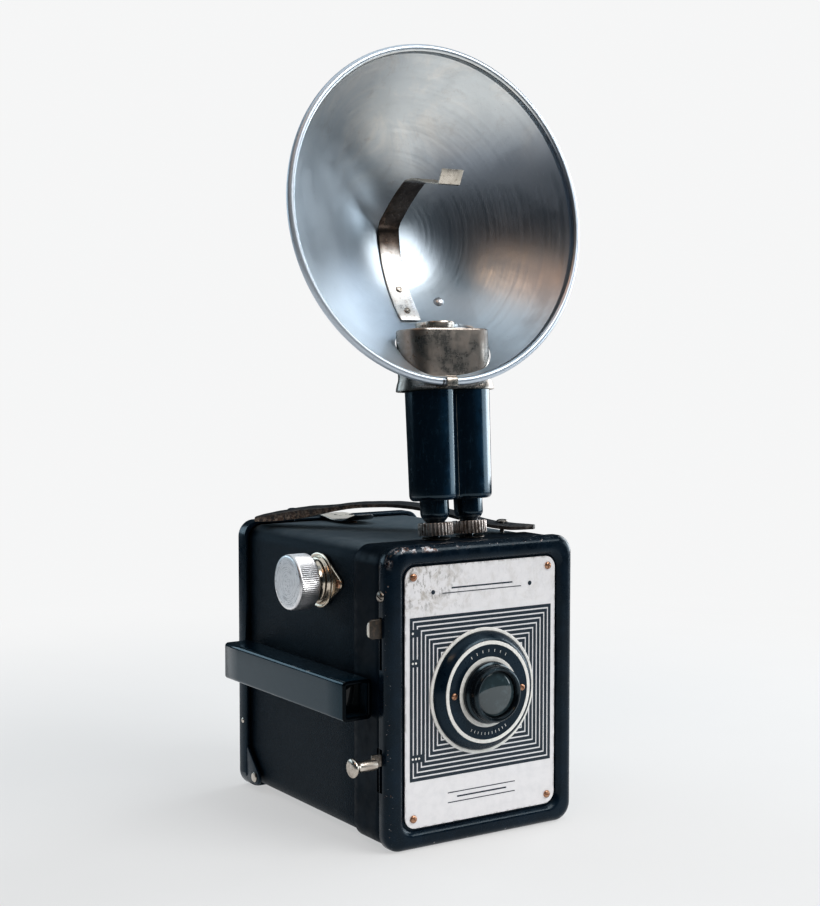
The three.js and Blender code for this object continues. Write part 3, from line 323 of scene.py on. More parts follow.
def spun(name):
    # radial turning marks about the bowl's own axis, with hazy patches, a painted warm reflection and painted shade on
    # the right, and a painted sheen over the left half
    m = Mat(name, (0.62, 0.68, 0.74), 0.3, 1.0)
    mp = m.n('ShaderNodeMapping'); mp.vector_type = 'TEXTURE'
    loc = BOWL.to_translation(); e = BOWL.to_euler('XYZ')
    mp.inputs['Location'].default_value = loc; mp.inputs['Rotation'].default_value = e
    m.l(m.P, mp.inputs[0])
    sp = m.n('ShaderNodeSeparateXYZ'); m.l(mp.outputs[0], sp.inputs[0])
    r = m.math('SQRT', m.math('ADD', m.math('POWER', sp.outputs[0], 2), m.math('POWER', sp.outputs[2], 2)))
    rn = m.n('ShaderNodeTexNoise'); rn.noise_dimensions = '1D'; m.l(r, rn.inputs['W']); rn.inputs['Scale'].default_value = 0.9; rn.inputs['Detail'].default_value = 3
    wide = m.n('ShaderNodeTexNoise'); wide.noise_dimensions = '1D'; m.l(r, wide.inputs['W']); wide.inputs['Scale'].default_value = 0.16; wide.inputs['Detail'].default_value = 3
    haze = m.step(m.noise(0.045, 5, 0.62, mp.outputs[0], 0.6), 0.42, 0.66)
    dust = m.step(m.noise(1.3, 3, 0.7, mp.outputs[0]), 0.70, 0.74)
    cloud = m.step(m.noise(0.035, 6, 0.66, mp.outputs[0], 0.8), 0.42, 0.68)
    up = m.step(sp.outputs[2], 5, 45)
    col = m.mix(m.math('MULTIPLY', haze, 0.45), (0.56, 0.64, 0.71), (0.44, 0.51, 0.58))
    col = m.mix(m.math('MULTIPLY', up, 0.8), col, (0.80, 0.82, 0.81))
    col = m.mix(m.math('MULTIPLY', m.math('MULTIPLY', cloud, up), 0.7), col, (0.95, 0.92, 0.87))
    stain = m.math('MULTIPLY', m.step(m.noise(0.12, 6, 0.8, mp.outputs[0], 0.5), 0.50, 0.80), m.step(sp.outputs[2], 0, 30))
    col = m.mix(m.math('MULTIPLY', stain, 0.35), col, (0.40, 0.33, 0.28))
    # painted warm reflection: a warm orange tint painted low on the right of the bowl, where a warm lamp reflects
    side = m.math('MULTIPLY', m.step(sp.outputs[0], 36, 56), m.step(m.math('MULTIPLY', sp.outputs[2], -1), 6, 24))
    col = m.mix(m.math('MULTIPLY', side, 0.35), col, (0.72, 0.50, 0.36))
    # painted sheen: the left half of the bowl is painted paler and bluer and made less metallic, standing in for the
    # light that falls there
    painted_sheen = m.math('MULTIPLY', m.step(m.math('MULTIPLY', sp.outputs[0], -1), 2, 32), m.math('SUBTRACT', 1.0, m.step(sp.outputs[2], 14, 36)))
    col = m.mix(m.math('MULTIPLY', painted_sheen, 0.8), col, (0.76, 0.85, 0.93))
    m.set('Metallic', m.math('SUBTRACT', 1.0, m.math('MULTIPLY', painted_sheen, m.mixf(haze, 0.30, 0.42))))
    # painted shade: the right-hand middle of the bowl is painted darker
    painted_shade = m.math('MULTIPLY', m.step(sp.outputs[0], 2, 26), m.math('SUBTRACT', 1.0, m.step(m.math('ABSOLUTE', m.math('SUBTRACT', sp.outputs[2], 13)), 10, 36)))
    col = m.mix(m.math('MULTIPLY', painted_shade, 0.8), col, (0.24, 0.27, 0.32))
    scr = m.step(m.noise(1.0, 4, 0.7, m.scale(mp.outputs[0], 0.35, 0.9, 0.08)), 0.66, 0.72)
    col = m.mix(m.math('MULTIPLY', scr, 0.18), col, (0.9, 0.9, 0.92))
    col = m.mix(m.math('MULTIPLY', dust, 0.5), col, (0.20, 0.21, 0.22))
    m.set('Base Color', col)
    ro = m.math('ADD', 0.345, m.math('MULTIPLY', haze, 0.09))
    ro = m.math('ADD', ro, m.math('MULTIPLY', m.math('SUBTRACT', rn.outputs[0], 0.5), 0.16))
    bead = m.step(r, 60.2, 61.2)
    col = m.mix(bead, col, m.mix(m.math('MULTIPLY', m.step(m.noise(0.8, 4, 0.7), 0.60, 0.68), 0.35), (0.60, 0.66, 0.73), (0.22, 0.21, 0.21)))
    slit = m.math('MULTIPLY', m.math('MULTIPLY', bead, m.step(m.math('MULTIPLY', sp.outputs[2], -1), 10, 20)), m.math('SUBTRACT', 1.0, m.step(m.math('ABSOLUTE', m.math('ADD', sp.outputs[0], 4.2)), 0.2, 0.42)))
    col = m.mix(slit, col, (0.012, 0.012, 0.015))
    m.set('Base Color', col)
    ro = m.mixf(bead, ro, 0.42)
    m.set('Roughness', ro)
    axis = BOWL.to_3x3() @ Vector((0, 1, 0))
    sub = m.n('ShaderNodeVectorMath'); sub.operation = 'SUBTRACT'; m.l(m.P, sub.inputs[0]); sub.inputs[1].default_value = loc
    cr = m.n('ShaderNodeVectorMath'); cr.operation = 'CROSS_PRODUCT'; m.l(sub.outputs[0], cr.inputs[0]); cr.inputs[1].default_value = axis
    nz = m.n('ShaderNodeVectorMath'); nz.operation = 'NORMALIZE'; m.l(cr.outputs[0], nz.inputs[0])
    m.l(nz.outputs[0], m.b.inputs['Tangent']); m.set('Anisotropic', 0.55)
    m.bump(rn.outputs[0], 0.05, 0.03); m.bump(wide.outputs[0], 0.22, 0.22); m.bump(m.noise(0.07, 2, 0.5, mp.outputs[0]), 0.18, 0.5)
    return m.m


def plate(name):
    base = (0.95, 0.94, 0.955)
    m = Mat(name, base, 0.36, 0.12)
    g1 = m.noise(0.12, 6, 0.72, None, 0.5); g2 = m.noise(0.5, 5, 0.7, m.scale(m.P, 1, 1, 0.45))
    ul = m.math('MULTIPLY', m.step(m.z, 78, 94), m.step(m.math('MULTIPLY', m.x, -1), 0, 26))
    top = m.step(m.z, 80, 88)
    dirt = m.math('MULTIPLY', m.step(g1, 0.46, 0.66), m.math('ADD', m.math('MULTIPLY', ul, 0.75), m.math('MULTIPLY', top, 0.22)))
    vein = m.math('MULTIPLY', m.step(g2, 0.52, 0.62), m.math('ADD', m.math('MULTIPLY', ul, 0.85), m.math('MULTIPLY', top, 0.10)))
    col = m.mix(m.math('MULTIPLY', m.step(m.noise(0.25, 5, 0.65), 0.35, 0.75), 0.5), base, (0.80, 0.80, 0.82))
    col = m.mix(m.math('MULTIPLY', dirt, 0.8), col, (0.38, 0.335, 0.27))
    col = m.mix(m.math('MULTIPLY', vein, 0.7), col, (0.20, 0.19, 0.17))
    edge = m.math('MAXIMUM', m.step(m.math('ABSOLUTE', m.x), 32.4, 33.4), m.math('MAXIMUM', m.step(m.z, 100.2, 101.1), m.step(m.math('MULTIPLY', m.z, -1), -8.5, -7.6)))
    col = m.mix(m.math('MULTIPLY', m.math('MULTIPLY', edge, m.step(g2, 0.45, 0.6)), 0.5), col, (0.25, 0.24, 0.23))
    m.set('Base Color', col); m.set('Roughness', m.math('ADD', 0.30, m.math('MULTIPLY', g1, 0.16)))
    m.bump(m.noise(1.4, 4, 0.6), 0.10, 0.04); m.bump(m.noise(1.0, 3, 0.5, m.scale(m.P, 7, 1, 0.5)), 0.06, 0.02)
    return m.m


def ink(name):
    base = (0.010, 0.024, 0.040)
    m = Mat(name, base, 0.36)
    ch = m.step(m.noise(1.5, 4, 0.7), 0.70, 0.74)
    col = m.mix(m.step(m.noise(0.3, 4, 0.6), 0.4, 0.7), base, (0.022, 0.038, 0.055))
    edge = m.step(m.math('ABSOLUTE', m.x), 24, 31.3)
    col = m.mix(m.math('MULTIPLY', m.math('MULTIPLY', ch, edge), 0.85), col, (0.45, 0.45, 0.47))
    m.set('Base Color', col)
    m.bump(m.noise(2.2, 3, 0.6), 0.12, 0.03)
    return m.m


def leather(name):
    base = (0.016, 0.018, 0.022)
    m = Mat(name, base, 0.55)
    pores = m.vor(1.5); grain = m.noise(1.1, 5, 0.65)
    wear = m.step(m.noise(0.22, 5, 0.7), 0.52, 0.68)
    col = m.mix(m.step(grain, 0.4, 0.7), base, (0.035, 0.036, 0.040))
    at = m.n('ShaderNodeAttribute'); at.attribute_name = 'edge'
    raw = m.math('MULTIPLY', at.outputs['Fac'], m.step(m.noise(0.45, 4, 0.7), 0.36, 0.56))
    col = m.mix(m.math('MULTIPLY', wear, 0.35), col, (0.12, 0.11, 0.10))
    col = m.mix(raw, col, m.mix(m.step(m.noise(1.0, 3, 0.6), 0.4, 0.6), (0.45, 0.36, 0.29), (0.17, 0.11, 0.08)))
    m.set('Base Color', col); m.set('Roughness', m.mixf(raw, m.mixf(wear, 0.42, 0.62), 0.85))
    m.bump(pores, 0.45, 0.12); m.bump(grain, 0.5, 0.18); m.bump(m.noise(0.25, 3, 0.5), 0.5, 0.35)
    return m.m


def gloss(name, base=(0.0020, 0.0080, 0.0160), rough=0.2, dusty=0.25, worn=False, painted_sheen=False):
    m = Mat(name, base, rough)
    d = m.step(m.noise(0.4, 5, 0.7), 0.5, 0.75)
    sp = m.step(m.noise(2.2, 2, 0.6), 0.68, 0.73)
    col = m.mix(m.math('MULTIPLY', d, dusty), base, (0.012, 0.034, 0.056))
    col = m.mix(m.math('MULTIPLY', sp, 0.12), col, (0.2, 0.21, 0.22))
    if painted_sheen:
        # painted sheen: a bluish highlight painted down the middle of each lobe and broken into mottled patches; the
        # valley and the turned-away edges stay dark as painted shade
        lob = None
        for c0 in (-5.6, 9.6):
            q = m.math('SUBTRACT', 1.0, m.step(m.math('ABSOLUTE', m.math('SUBTRACT', m.x, c0)), 0.4, 4.8))
            lob = q if lob is None else m.math('MAXIMUM', lob, q)
        patch = m.step(m.noise(0.09, 5, 0.7, m.scale(m.P, 1, 1, 0.6)), 0.30, 0.62)
        col = m.mix(m.math('MULTIPLY', m.math('MULTIPLY', lob, patch), 0.95), col, (0.0085, 0.034, 0.066))
        wipe = m.step(m.noise(0.8, 4, 0.7, m.scale(m.P, 1, 1, 0.15)), 0.56, 0.70)
        col = m.mix(m.math('MULTIPLY', wipe, 0.14), col, (0.05, 0.10, 0.15))
    if worn:
        ea = m.math('SUBTRACT', m.math('ABSOLUTE', m.math('SUBTRACT', m.z, 54.2)), 7.2)
        eb = m.math('SUBTRACT', m.math('ABSOLUTE', m.math('ADD', m.x, 47.45)), 5.85)
        w = m.math('MULTIPLY', m.step(m.math('ADD', ea, eb), -1.1, -0.6), m.step(m.noise(0.5, 4, 0.7, m.scale(m.P, 1, 0.25, 1)), 0.60, 0.66))
        col = m.mix(w, col, (0.42, 0.42, 0.41))
        rough = m.mixf(w, rough, 0.5)
        m.set('Roughness', rough)
        fr = m.math('SUBTRACT', 1.0, m.step(m.y, 9.3, 10.0))
        m.set('Specular IOR Level', m.mixf(fr, 0.5, 0.06))
        col = m.mix(fr, col, (0.0012, 0.0028, 0.0048))
    else:
        m.set('Roughness', m.math('ADD', rough, m.math('MULTIPLY', d, 0.16)))
    m.set('Base Color', col)
    m.bump(m.noise(0.7, 3, 0.5), 0.10, 0.06); m.bump(m.noise(0.12, 2, 0.5), 0.2, 0.25)
    m.set('Coat Weight', 0.12 if worn else 0.3); m.set('Coat Roughness', 0.10); m.set('Specular Tint', (0.55, 0.84, 1.0, 1))
    return m.m


def glass(name, tint=(0.55, 0.66, 0.70), rough=0.03, trans=0.85):
    m = Mat(name, tint, rough, 0.0)
    m.set('Transmission Weight', trans); m.set('IOR', 1.5)
    haze = m.step(m.noise(0.4, 5, 0.7), 0.45, 0.75)
    scr = m.step(m.noise(1.0, 4, 0.75, m.scale(m.P, 0.5, 1, 3.2)), 0.66, 0.70)
    m.set('Roughness', m.math('ADD', m.math('MULTIPLY', haze, 0.10), m.math('ADD', rough, m.math('MULTIPLY', scr, 0.25))))
    m.bump(haze, 0.04, 0.05)
    return m.m


def plain(name, base, rough, metal_=0.0, grain=0.4, mott=0.65):
    m = Mat(name, base, rough, metal_)
    a = m.noise(0.5, 5, 0.65)
    m.set('Base Color', m.mix(m.step(a, 0.35, 0.7), base, tuple(c * mott for c in base)))
    m.set('Roughness', m.math('ADD', rough - 0.05, m.math('MULTIPLY', a, 0.15)))
    m.bump(m.noise(1.8, 4, 0.6), grain * 0.4, 0.06)
    return m.m


M_ENAM = enamel("enamel_black")
M_COVER = enamel("enamel_cover", chips=1.0, base=(0.0014, 0.0062, 0.0130), coat=0.22, spec=0.22)
M_BAND = enamel("enamel_band", base=(0.0018, 0.0055, 0.0105), rough=0.38, bump=0.2, coat=0.0, spec=0.09)
M_WRINK = wrinkle("wrinkle_enamel")
M_PLATE = plate("plate_silver")
M_INK = ink("plate_ink")
M_COPPER = metal("copper_worn", (0.56, 0.33, 0.22), 0.34, (0.22, 0.12, 0.08), 0.7)
M_WHITE = plain("ring_white", (1.0, 0.99, 0.95), 0.42, 0.0, 0.15, mott=0.86)
M_ALU = metal("aluminium_scuffed", (0.78, 0.79, 0.81), 0.34, (0.50, 0.50, 0.52), 0.35, 1.0)
M_NICK = metal("nickel_tarnished", (0.66, 0.61, 0.55), 0.26, (0.33, 0.27, 0.22), 0.6, 0.8, spots=0.3)
M_CUP = metal("nickel_housing", (0.38, 0.35, 0.32), 0.27, (0.24, 0.20, 0.175), 0.75, 1.0, spots=0.1, tscale=0.14)
def arm_metal():
    # bent strip: pale where it lies on the bowl, brown-black above the first bend, pale end hook
    m = Mat("nickel_arm", (0.6, 0.58, 0.55), 0.3, 1.0)
    mp = m.n('ShaderNodeMapping'); mp.vector_type = 'TEXTURE'
    mp.inputs['Location'].default_value = BOWL.to_translation(); mp.inputs['Rotation'].default_value = BOWL.to_euler('XYZ')
    m.l(m.P, mp.inputs[0])
    sp = m.n('ShaderNodeSeparateXYZ'); m.l(mp.outputs[0], sp.inputs[0])
    a = m.step(m.noise(0.14, 5, 0.7), 0.38, 0.70); b = m.step(m.noise(0.7, 4, 0.7), 0.52, 0.66)
    low = m.step(m.math('MULTIPLY', sp.outputs[2], -1), 3, 13)
    tip = m.step(m.math('MULTIPLY', sp.outputs[1], -1), -17, -13)
    dark = m.mix(a, (0.13, 0.105, 0.09), (0.045, 0.036, 0.032))
    pale = m.mix(m.math('MULTIPLY', a, 0.35), (0.84, 0.84, 0.83), (0.40, 0.36, 0.32))
    col = m.mix(m.math('MAXIMUM', low, tip), dark, pale)
    col = m.mix(m.math('MULTIPLY', tip, 0.7), col, (0.60, 0.53, 0.43))
    col = m.mix(m.math('MULTIPLY', b, 0.45), col, (0.16, 0.11, 0.08))
    m.set('Base Color', col); m.set('Roughness', m.math('ADD', 0.26, m.math('MULTIPLY', a, 0.2)))
    m.bump(m.noise(0.9, 4, 0.6), 0.12, 0.05)
    return m.m


M_ARM = arm_metal()
M_NUT = metal("nickel_nut", (0.62, 0.55, 0.51), 0.38, (0.14, 0.105, 0.085), 0.95, 0.8, spots=0.9, tscale=0.5)
M_ESC = metal("nickel_escutcheon", (0.66, 0.59, 0.50), 0.20, (0.42, 0.33, 0.24), 0.6, 0.5, spots=0.1, tscale=0.12)
M_TAB = metal("nickel_tab", (0.34, 0.31, 0.28), 0.28, (0.12, 0.10, 0.085), 0.8, 0.8, spots=0.4)
M_SPUN = spun("spun_aluminium")
M_LEATH = leather("leather_black")
M_BAKE = gloss("bakelite_black", rough=0.17, painted_sheen=True)
M_BARREL = gloss("barrel_black", (0.004, 0.0055, 0.008), 0.22, 0.15)
M_FIND = gloss("finder_black", (0.0065, 0.0200, 0.0320), 0.19, 0.15, worn=True)
def dark_glass(name, base=(0.010, 0.018, 0.022), ior=1.85, rough=0.03):
    # coated front lens over a black chamber: dark body, strong clean reflection, fine cleaning marks
    m = Mat(name, base, rough, 0.0)
    m.set('IOR', ior)
    haze = m.step(m.noise(0.35, 5, 0.7), 0.48, 0.75)
    scr = m.step(m.noise(1.0, 4, 0.75, m.scale(m.P, 0.5, 1, 3.2)), 0.68, 0.72)
    m.set('Base Color', m.mix(m.math('MULTIPLY', haze, 0.5), base, tuple(c * 2.6 for c in base)))
    m.set('Roughness', m.math('ADD', rough, m.math('ADD', m.math('MULTIPLY', haze, 0.05), m.math('MULTIPLY', scr, 0.2))))
    m.bump(haze, 0.03, 0.04)
    return m.m


M_GLASS = dark_glass("lens_glass", (0.036, 0.056, 0.064))
M_GLASS2 = dark_glass("finder_glass", (0.003, 0.005, 0.006), 1.45, 0.05)
M_RED = glass("red_glass", (0.6, 0.05, 0.03), 0.05, 0.7)
M_STEEL = metal("steel_plain", (0.48, 0.49, 0.50), 0.34)
M_INNER = plain("inner_black", (0.02, 0.02, 0.022), 0.8)
M_WOOD = plain("spool_wood", (0.42, 0.28, 0.16), 0.65)
M_BRASS = metal("brass_dull", (0.58, 0.44, 0.22), 0.34, (0.28, 0.19, 0.09), 0.8)
M_CELL = plain("cell_wrap", (0.25, 0.28, 0.24), 0.5)
M_RUST = plain("rust_spot", (0.30, 0.15, 0.08), 0.75)

KEEP = {"inner_black": M_INNER, "steel": M_STEEL, "wood": M_WOOD, "cell_wrap": M_CELL, "red_glass": M_RED, "brass": M_BRASS, "nickel": M_NICK,
        "black_enamel": M_ENAM, "wrinkle_enamel": M_WRINK, "plate_silver": M_PLATE, "plate_ink": M_INK, "copper": M_COPPER, "white_paint": M_WHITE,
        "lens_glass": M_GLASS, "aluminium": M_ALU, "spun_aluminium": M_SPUN, "leather": M_LEATH, "bakelite": M_BAKE}
slots = {s["node"]: s["material_slot"] for s in frame["record"]["subparts"]}
for nm, ob in NODES.items():
    ob.data.materials.clear(); ob.data.materials.append(KEEP[slots[nm]])


# ------------------------------------------------------------------ screws and rivets
def screw(name, p, d, r, h, mat, reps, body="camera", slotw=0.32, rot=0.6, shank=1.0, M=ID, slot=None):
    prof = [(0, -shank), (r * 0.45, -shank), (r * 0.45, 0), (r, 0), (r * 1.0, h * 0.3), (r * 0.86, h * 0.68), (r * 0.6, h * 0.9), (r * 0.3, h * 0.98), (0, h)]
    A = M @ axisM(p, d)
    o = make(name, *lathe(prof, 28), body, mat, reps, M=A, slot=slot)
    if slotw:
        t = tool(*boxv(-r * 1.3, r * 1.3, -slotw / 2, slotw / 2, h * 0.42, h * 2), M=A @ Matrix.Rotation(rot, 4, 'Z'))
        cut(o, [t], mat)
    return o


# ------------------------------------------------------------------ front cover
def front_cover():
    S = []
    hw, top = 41.5, 108.5
    S.append((-40.2, 40.2, 1.4, top - 1.4, 5.3, 2.4))
    S.append((-40.2, 40.2, 1.4, top - 1.4, 5.3, 4.45))
    S.append((-40.4, 40.4, 1.2, top - 1.2, 5.5, 4.6))
    S.append((-41.3, 41.3, 0.2, top - 0.2, 6.4, 4.6))
    S.append((-hw, hw, 0, top, 6.6, 4.35))
    R = 3.2
    for i in range(0, 11):
        a = rad(90 * i / 10)
        k = R * (1 - math.cos(a)); y = 2.0 - R * math.sin(a)
        S.append((-hw + k, hw - k, k, top - k, 6.6 - k * 0.6, y))
    for kx, kz, y in ((4.0, 3.6, -1.2), (5.2, 4.7, -1.2), (5.6, 5.1, -1.14), (5.95, 5.45, -0.98), (6.3, 5.8, -0.7), (6.65, 6.15, -0.3), (6.95, 6.45, 0.1), (7.15, 6.65, 0.4), (7.28, 6.78, 0.7), (7.3, 6.8, 0.9)):
        S.append((-hw + kx, hw - kx, kz, top - kz - 0.1, 5.4 - (kx - 4) * 0.05, y))
    o = make("cover_pan", *loft(secY(S, 16)), "camera", M_COVER, ("front_cover",), angle=50)
    tools = [tool(*boxv(-44, -39.6, 2.35, 4.05, 65.3, 83.9)), tool(*boxv(-44, -39.6, 2.3, 4.1, 21.5, 37.2)),
             tool(*lathe([(0, 0), (12.2, 0), (12.2, 8), (0, 8)], 40), M=axisM((0, -2, LZ), (0, 1, 0)))]
    cut(o, tools, M_COVER, 50)


front_cover()


# ------------------------------------------------------------------ face plate, print
def face():
    e = 0.12
    S = [(-33.4 + e, 33.4 - e, 7.6 + e, 101.1 - e, 4.4, 0.6), (-33.4, 33.4, 7.6, 101.1, 4.5, 0.6 - e), (-33.4, 33.4, 7.6, 101.1, 4.5, e), (-33.4 + e, 33.4 - e, 7.6 + e, 101.1 - e, 4.4, 0)]
    o = make("plate_sheet", *loft(secY(S, 12)), "camera", M_PLATE, ("face_plate",), angle=30)
    hw, zc, hh, pitch, w = 31.35, 53.85, 29.25, 1.72, 1.14
    parts = []
    for i in range(11):
        a, b = hw - i * pitch, hh - i * pitch
        c, d = a - w, b - w
        for y0 in (-0.10,):
            outer = [(-a, zc - b), (a, zc - b), (a, zc + b), (-a, zc + b)]
            inner = [(-c, zc - d), (c, zc - d), (c, zc + d), (-c, zc + d)]
            v, f = [], []
            for y in (-0.09, -0.02):
                for p in outer: v.append((p[0], y, p[1]))
                for p in inner: v.append((p[0], y, p[1]))
            for k in range(4):
                j = (k + 1) % 4
                f += [(k, j, 4 + j, 4 + k), (8 + k, 12 + k, 12 + j, 8 + j), (k, 8 + k, 8 + j, j), (4 + k, 4 + j, 12 + j, 12 + k)]
            parts.append((v, f))
    o = make("print_stripes", *merge(*parts), "camera", M_INK, ("face_print",), angle=30)
    cut(o, [tool(*lathe([(0, 0), (23.05, 0), (23.05, 8), (0, 8)], 128), M=axisM((0, -4, LZ), (0, 1, 0)))], M_INK, 30)
    # plain marks beside the two controls, and plain rules where the plate carried its print
    marks = []
    for z, n in ((77.6, 1), (66.9, 2), (32.7, 3)):
        marks.append(boxv(-31.2, -26.2 if n == 3 else -27.4, -0.13, -0.02, z - 1.35, z + 1.35))
    make("mark_pads", *merge(*marks), "camera", M_INK, slot="plate_ink")
    dots = []
    for z, n in ((77.6, 1), (66.9, 2), (32.7, 3)):
        for i in range(n):
            dots.append(moved(lathe([(0, 0), (0.42, 0), (0.42, 0.06), (0, 0.06)], 16), axisM((-30.2 + i * 1.35, -0.12, z), (0, -1, 0))))
    make("mark_dots", *merge(*dots), "camera", M_WHITE, slot="white_paint")
    rules = []
    for i, (w2, z, t) in enumerate(((13.5, 92.6, 0.5), (17.5, 90.9, 0.28), (15.0, 18.4, 0.3), (11.0, 16.6, 0.5), (15.0, 14.8, 0.3))):
        rules.append(boxv(-w2, w2, -0.08, -0.02, z - t / 2, z + t / 2))
    for sx in (-1, 1):
        rules.append(moved(lathe([(0, 0), (0.8, 0), (0.8, 0.06), (0, 0.06)], 24), axisM((sx * 21.5, -0.02, 91.6), (0, -1, 0))))
    make("plain_rules", *merge(*rules), "camera", M_INK, slot="plate_ink")
    for n, sx, z, r in (("tl", -1, 97.5, 0.5), ("tr", 1, 97.5, 1.2), ("bl", -1, 11.2, 2.2), ("br", 1, 11.2, 0.1)):
        screw("face_screw_" + n, (sx * 29.9, -0.05, z), (0, -1, 0), 1.4, 0.8, M_COPPER, ("plate_screw_" + n,), rot=r)


face()


# ------------------------------------------------------------------ lens unit
def lens():
    A = axisM((0, 0, LZ), (0, -1, 0))
    def L(name, prof, mat, reps=(), closed=True, seg=128, slot=None, angle=28):
        return make(name, *lathe(prof, seg, closed), "camera", mat, reps, M=A, slot=slot, angle=angle)
    L("ring_outer", [(21.75, 0.1), (22.9, 0.1), (23.0, 0.25), (22.95, 0.5), (22.75, 0.62), (21.9, 0.62), (21.75, 0.5)], M_WHITE, ("lens_ring",))
    L("bezel_cone", [(17.6, 0.1), (21.7, 0.1), (21.7, 0.75), (21.55, 1.2), (21.1, 1.9), (20.35, 2.8), (19.7, 3.5), (19.2, 3.9), (18.9, 4.05), (18.75, 4.0), (18.7, 3.6), (17.6, 3.6)], M_ENAM, ("lens_bezel",))
    L("disc_white", [(11.1, 3.55), (18.65, 3.55), (18.65, 4.05), (18.5, 4.15), (17.35, 4.15), (17.3, 4.1), (17.3, 3.95), (12.85, 3.95), (12.8, 4.1), (12.75, 4.15), (11.3, 4.15), (11.1, 4.1)], M_WHITE, ("lens_disc",))
    L("disc_black", [(12.82, 3.97), (17.28, 3.97), (17.28, 4.03), (17.2, 4.08), (12.9, 4.08), (12.82, 4.03)], M_ENAM, slot="black_enamel")
    # short plain tick marks where the disc carried its print
    ticks = []
    for a in list(range(60, 121, 10)) + list(range(240, 301, 6)):
        T = Matrix.Rotation(rad(a), 4, 'Z')
        ticks.append(moved(boxv(14.6, 15.6, -0.11, 0.11, 4.07, 4.12), T))
    make("disc_ticks", *merge(*ticks), "camera", M_WHITE, M=A, slot="white_paint")
    L("barrel", [(8.3, -2.6), (10.7, -2.6), (10.7, 4.2), (11.25, 4.25), (11.35, 4.6), (11.3, 5.6), (11.1, 6.1), (10.6, 6.45), (10.35, 6.7), (10.3, 7.4), (10.25, 9.3), (10.1, 9.95), (9.75, 10.4), (9.3, 10.6), (8.85, 10.5), (8.55, 10.1), (8.35, 9.6), (8.3, 8.8)], M_BARREL, ("lens_barrel",))
    prof = [(0, 5.4), (4, 5.6), (7.9, 6.4), (8.15, 6.6), (8.2, 8.3)] + [(8.2 * math.cos(rad(t)), 8.3 + 1.35 * math.sin(rad(t))) for t in range(10, 90, 10)] + [(0, 9.65)]
    L("glass_lens", prof, M_GLASS, ("lens_glass",), closed=False)
    L("lens_stop", [(3.2, 2.2), (8.1, 2.2), (8.1, 2.9), (3.2, 2.9)], M_INNER, slot="inner_black")
    for n, a in (("l", math.pi), ("r", 0.0)):
        screw("disc_screw_" + n, (15.05 * math.cos(a), -4.02, LZ + 15.05 * math.sin(a)), (0, -1, 0), 1.25, 0.7, M_COPPER, ("bezel_screw_" + n,), rot=0.9 if n == "l" else 2.2)


lens()


# ------------------------------------------------------------------ band and shell
def tube(name, hw, z0, z1, r, y0, y1, wall, e, mat, reps, extra=None):
    S = []
    for k, y in ((e, y0), (e * 0.3, y0 + e * 0.3), (0, y0 + e)): S.append((-hw + k, hw - k, z0 + k, z1 - k, r - k * 0.5, y))
    ny = 6
    for i in range(1, ny): S.append((-hw, hw, z0, z1, r, y0 + e + (y1 - y0 - 2 * e) * i / ny))
    for k, y in ((0, y1 - e), (e * 0.3, y1 - e * 0.3), (e, y1)): S.append((-hw + k, hw - k, z0 + k, z1 - k, r - k * 0.5, y))
    S.append((-hw + wall, hw - wall, z0 + wall, z1 - wall, r - wall, y1))
    S.append((-hw + wall, hw - wall, z0 + wall, z1 - wall, r - wall, y0))
    o = make(name, *loft(secY(S, 14), loop=True), "camera", mat, reps, angle=40)
    return o


o = tube("band", 41.3, 0.8, 107.8, 6.6, 4.9, 21.9, 1.3, 0.6, M_BAND, ("front_frame",))
cut(o, [tool(*lathe([(0, 0), (3.45, 0), (3.45, 12), (0, 12)], 32), M=Matrix.Translation((s * 7.6, 18.7, 100))) for s in (-1, 1)] + [tool(*boxv(-50, -39, 4.0, 6.0, 21.5, 37.2))], M_BAND, 40)
o = tube("shell", 39.8, 1.4, 107.3, 6.2, 22.2, 107, 1.2, 0.25, M_WRINK, ("body_shell",))
cut(o, [tool(*lathe([(0, 0), (2.6, 0), (2.6, 10), (0, 10)], 24), M=axisM((-45, 47.1, 92), (1, 0, 0)))], M_WRINK, 40)
# catch stud with its rusty washer on the top
make("catch_stud", *lathe([(0, -0.3), (1.7, -0.3), (1.75, 0.1), (1.5, 0.35), (1.1, 0.5), (0, 0.55)], 24), "camera", M_RUST, M=Matrix.Translation((0.5, 91.5, 107.3)), slot="nickel")


# ------------------------------------------------------------------ back cover
def back():
    hw, top = 42.2, 109.0
    S = []
    S.append((-40.3, 40.3, 0.95, 107.75, 6.0, 110.2))
    S.append((-40.3, 40.3, 0.95, 107.75, 6.0, 105.2))
    S.append((-40.6, 40.6, 0.7, 108.0, 6.2, 105.0))
    S.append((-41.9, 41.9, 0.3, 108.7, 6.5, 105.0))
    S.append((-hw, hw, 0, top, 6.6, 105.3))
    R = 1.5
    for i in range(0, 7):
        a = rad(90 * i / 6); k = R * (1 - math.cos(a)); y = 110.2 + R * math.sin(a)
        S.append((-hw + k, hw - k, k, top - k, 6.6 - k * 0.5, y))
    for k, y in ((8.6, 111.7), (9.0, 111.75), (9.3, 112.05), (9.7, 112.1), (10.8, 112.1), (11.2, 112.0), (11.5, 111.72)):
        S.append((-hw + k, hw - k, k + 0.7, top - k - 1.2, max(6.6 - k * 0.16, 4), y))
    o = make("back_pan", *loft(secY(S, 14)), "door", M_ENAM, ("back_cover",), angle=45)
    cut(o, [tool(*lathe([(0, 0), (6.2, 0), (6.2, 20), (0, 20)], 48), M=axisM((0, 100, 54.2), (0, 1, 0)))], M_ENAM, 45)
    for n, x0, x1 in (("l", -41.9, -40.5), ("r", 40.5, 41.9)):
        ear = [(105.6, 18), (105.6, 3), (97.2, 2.9), (95.6, 3.4), (94.7, 4.8), (94.6, 6.4), (95.1, 7.8), (96.5, 9.2)]
        make("hinge_ear_" + n, *prism(ear, 'X', x0, x1), "door", M_ENAM, bevel=0.35, slot="black_enamel")


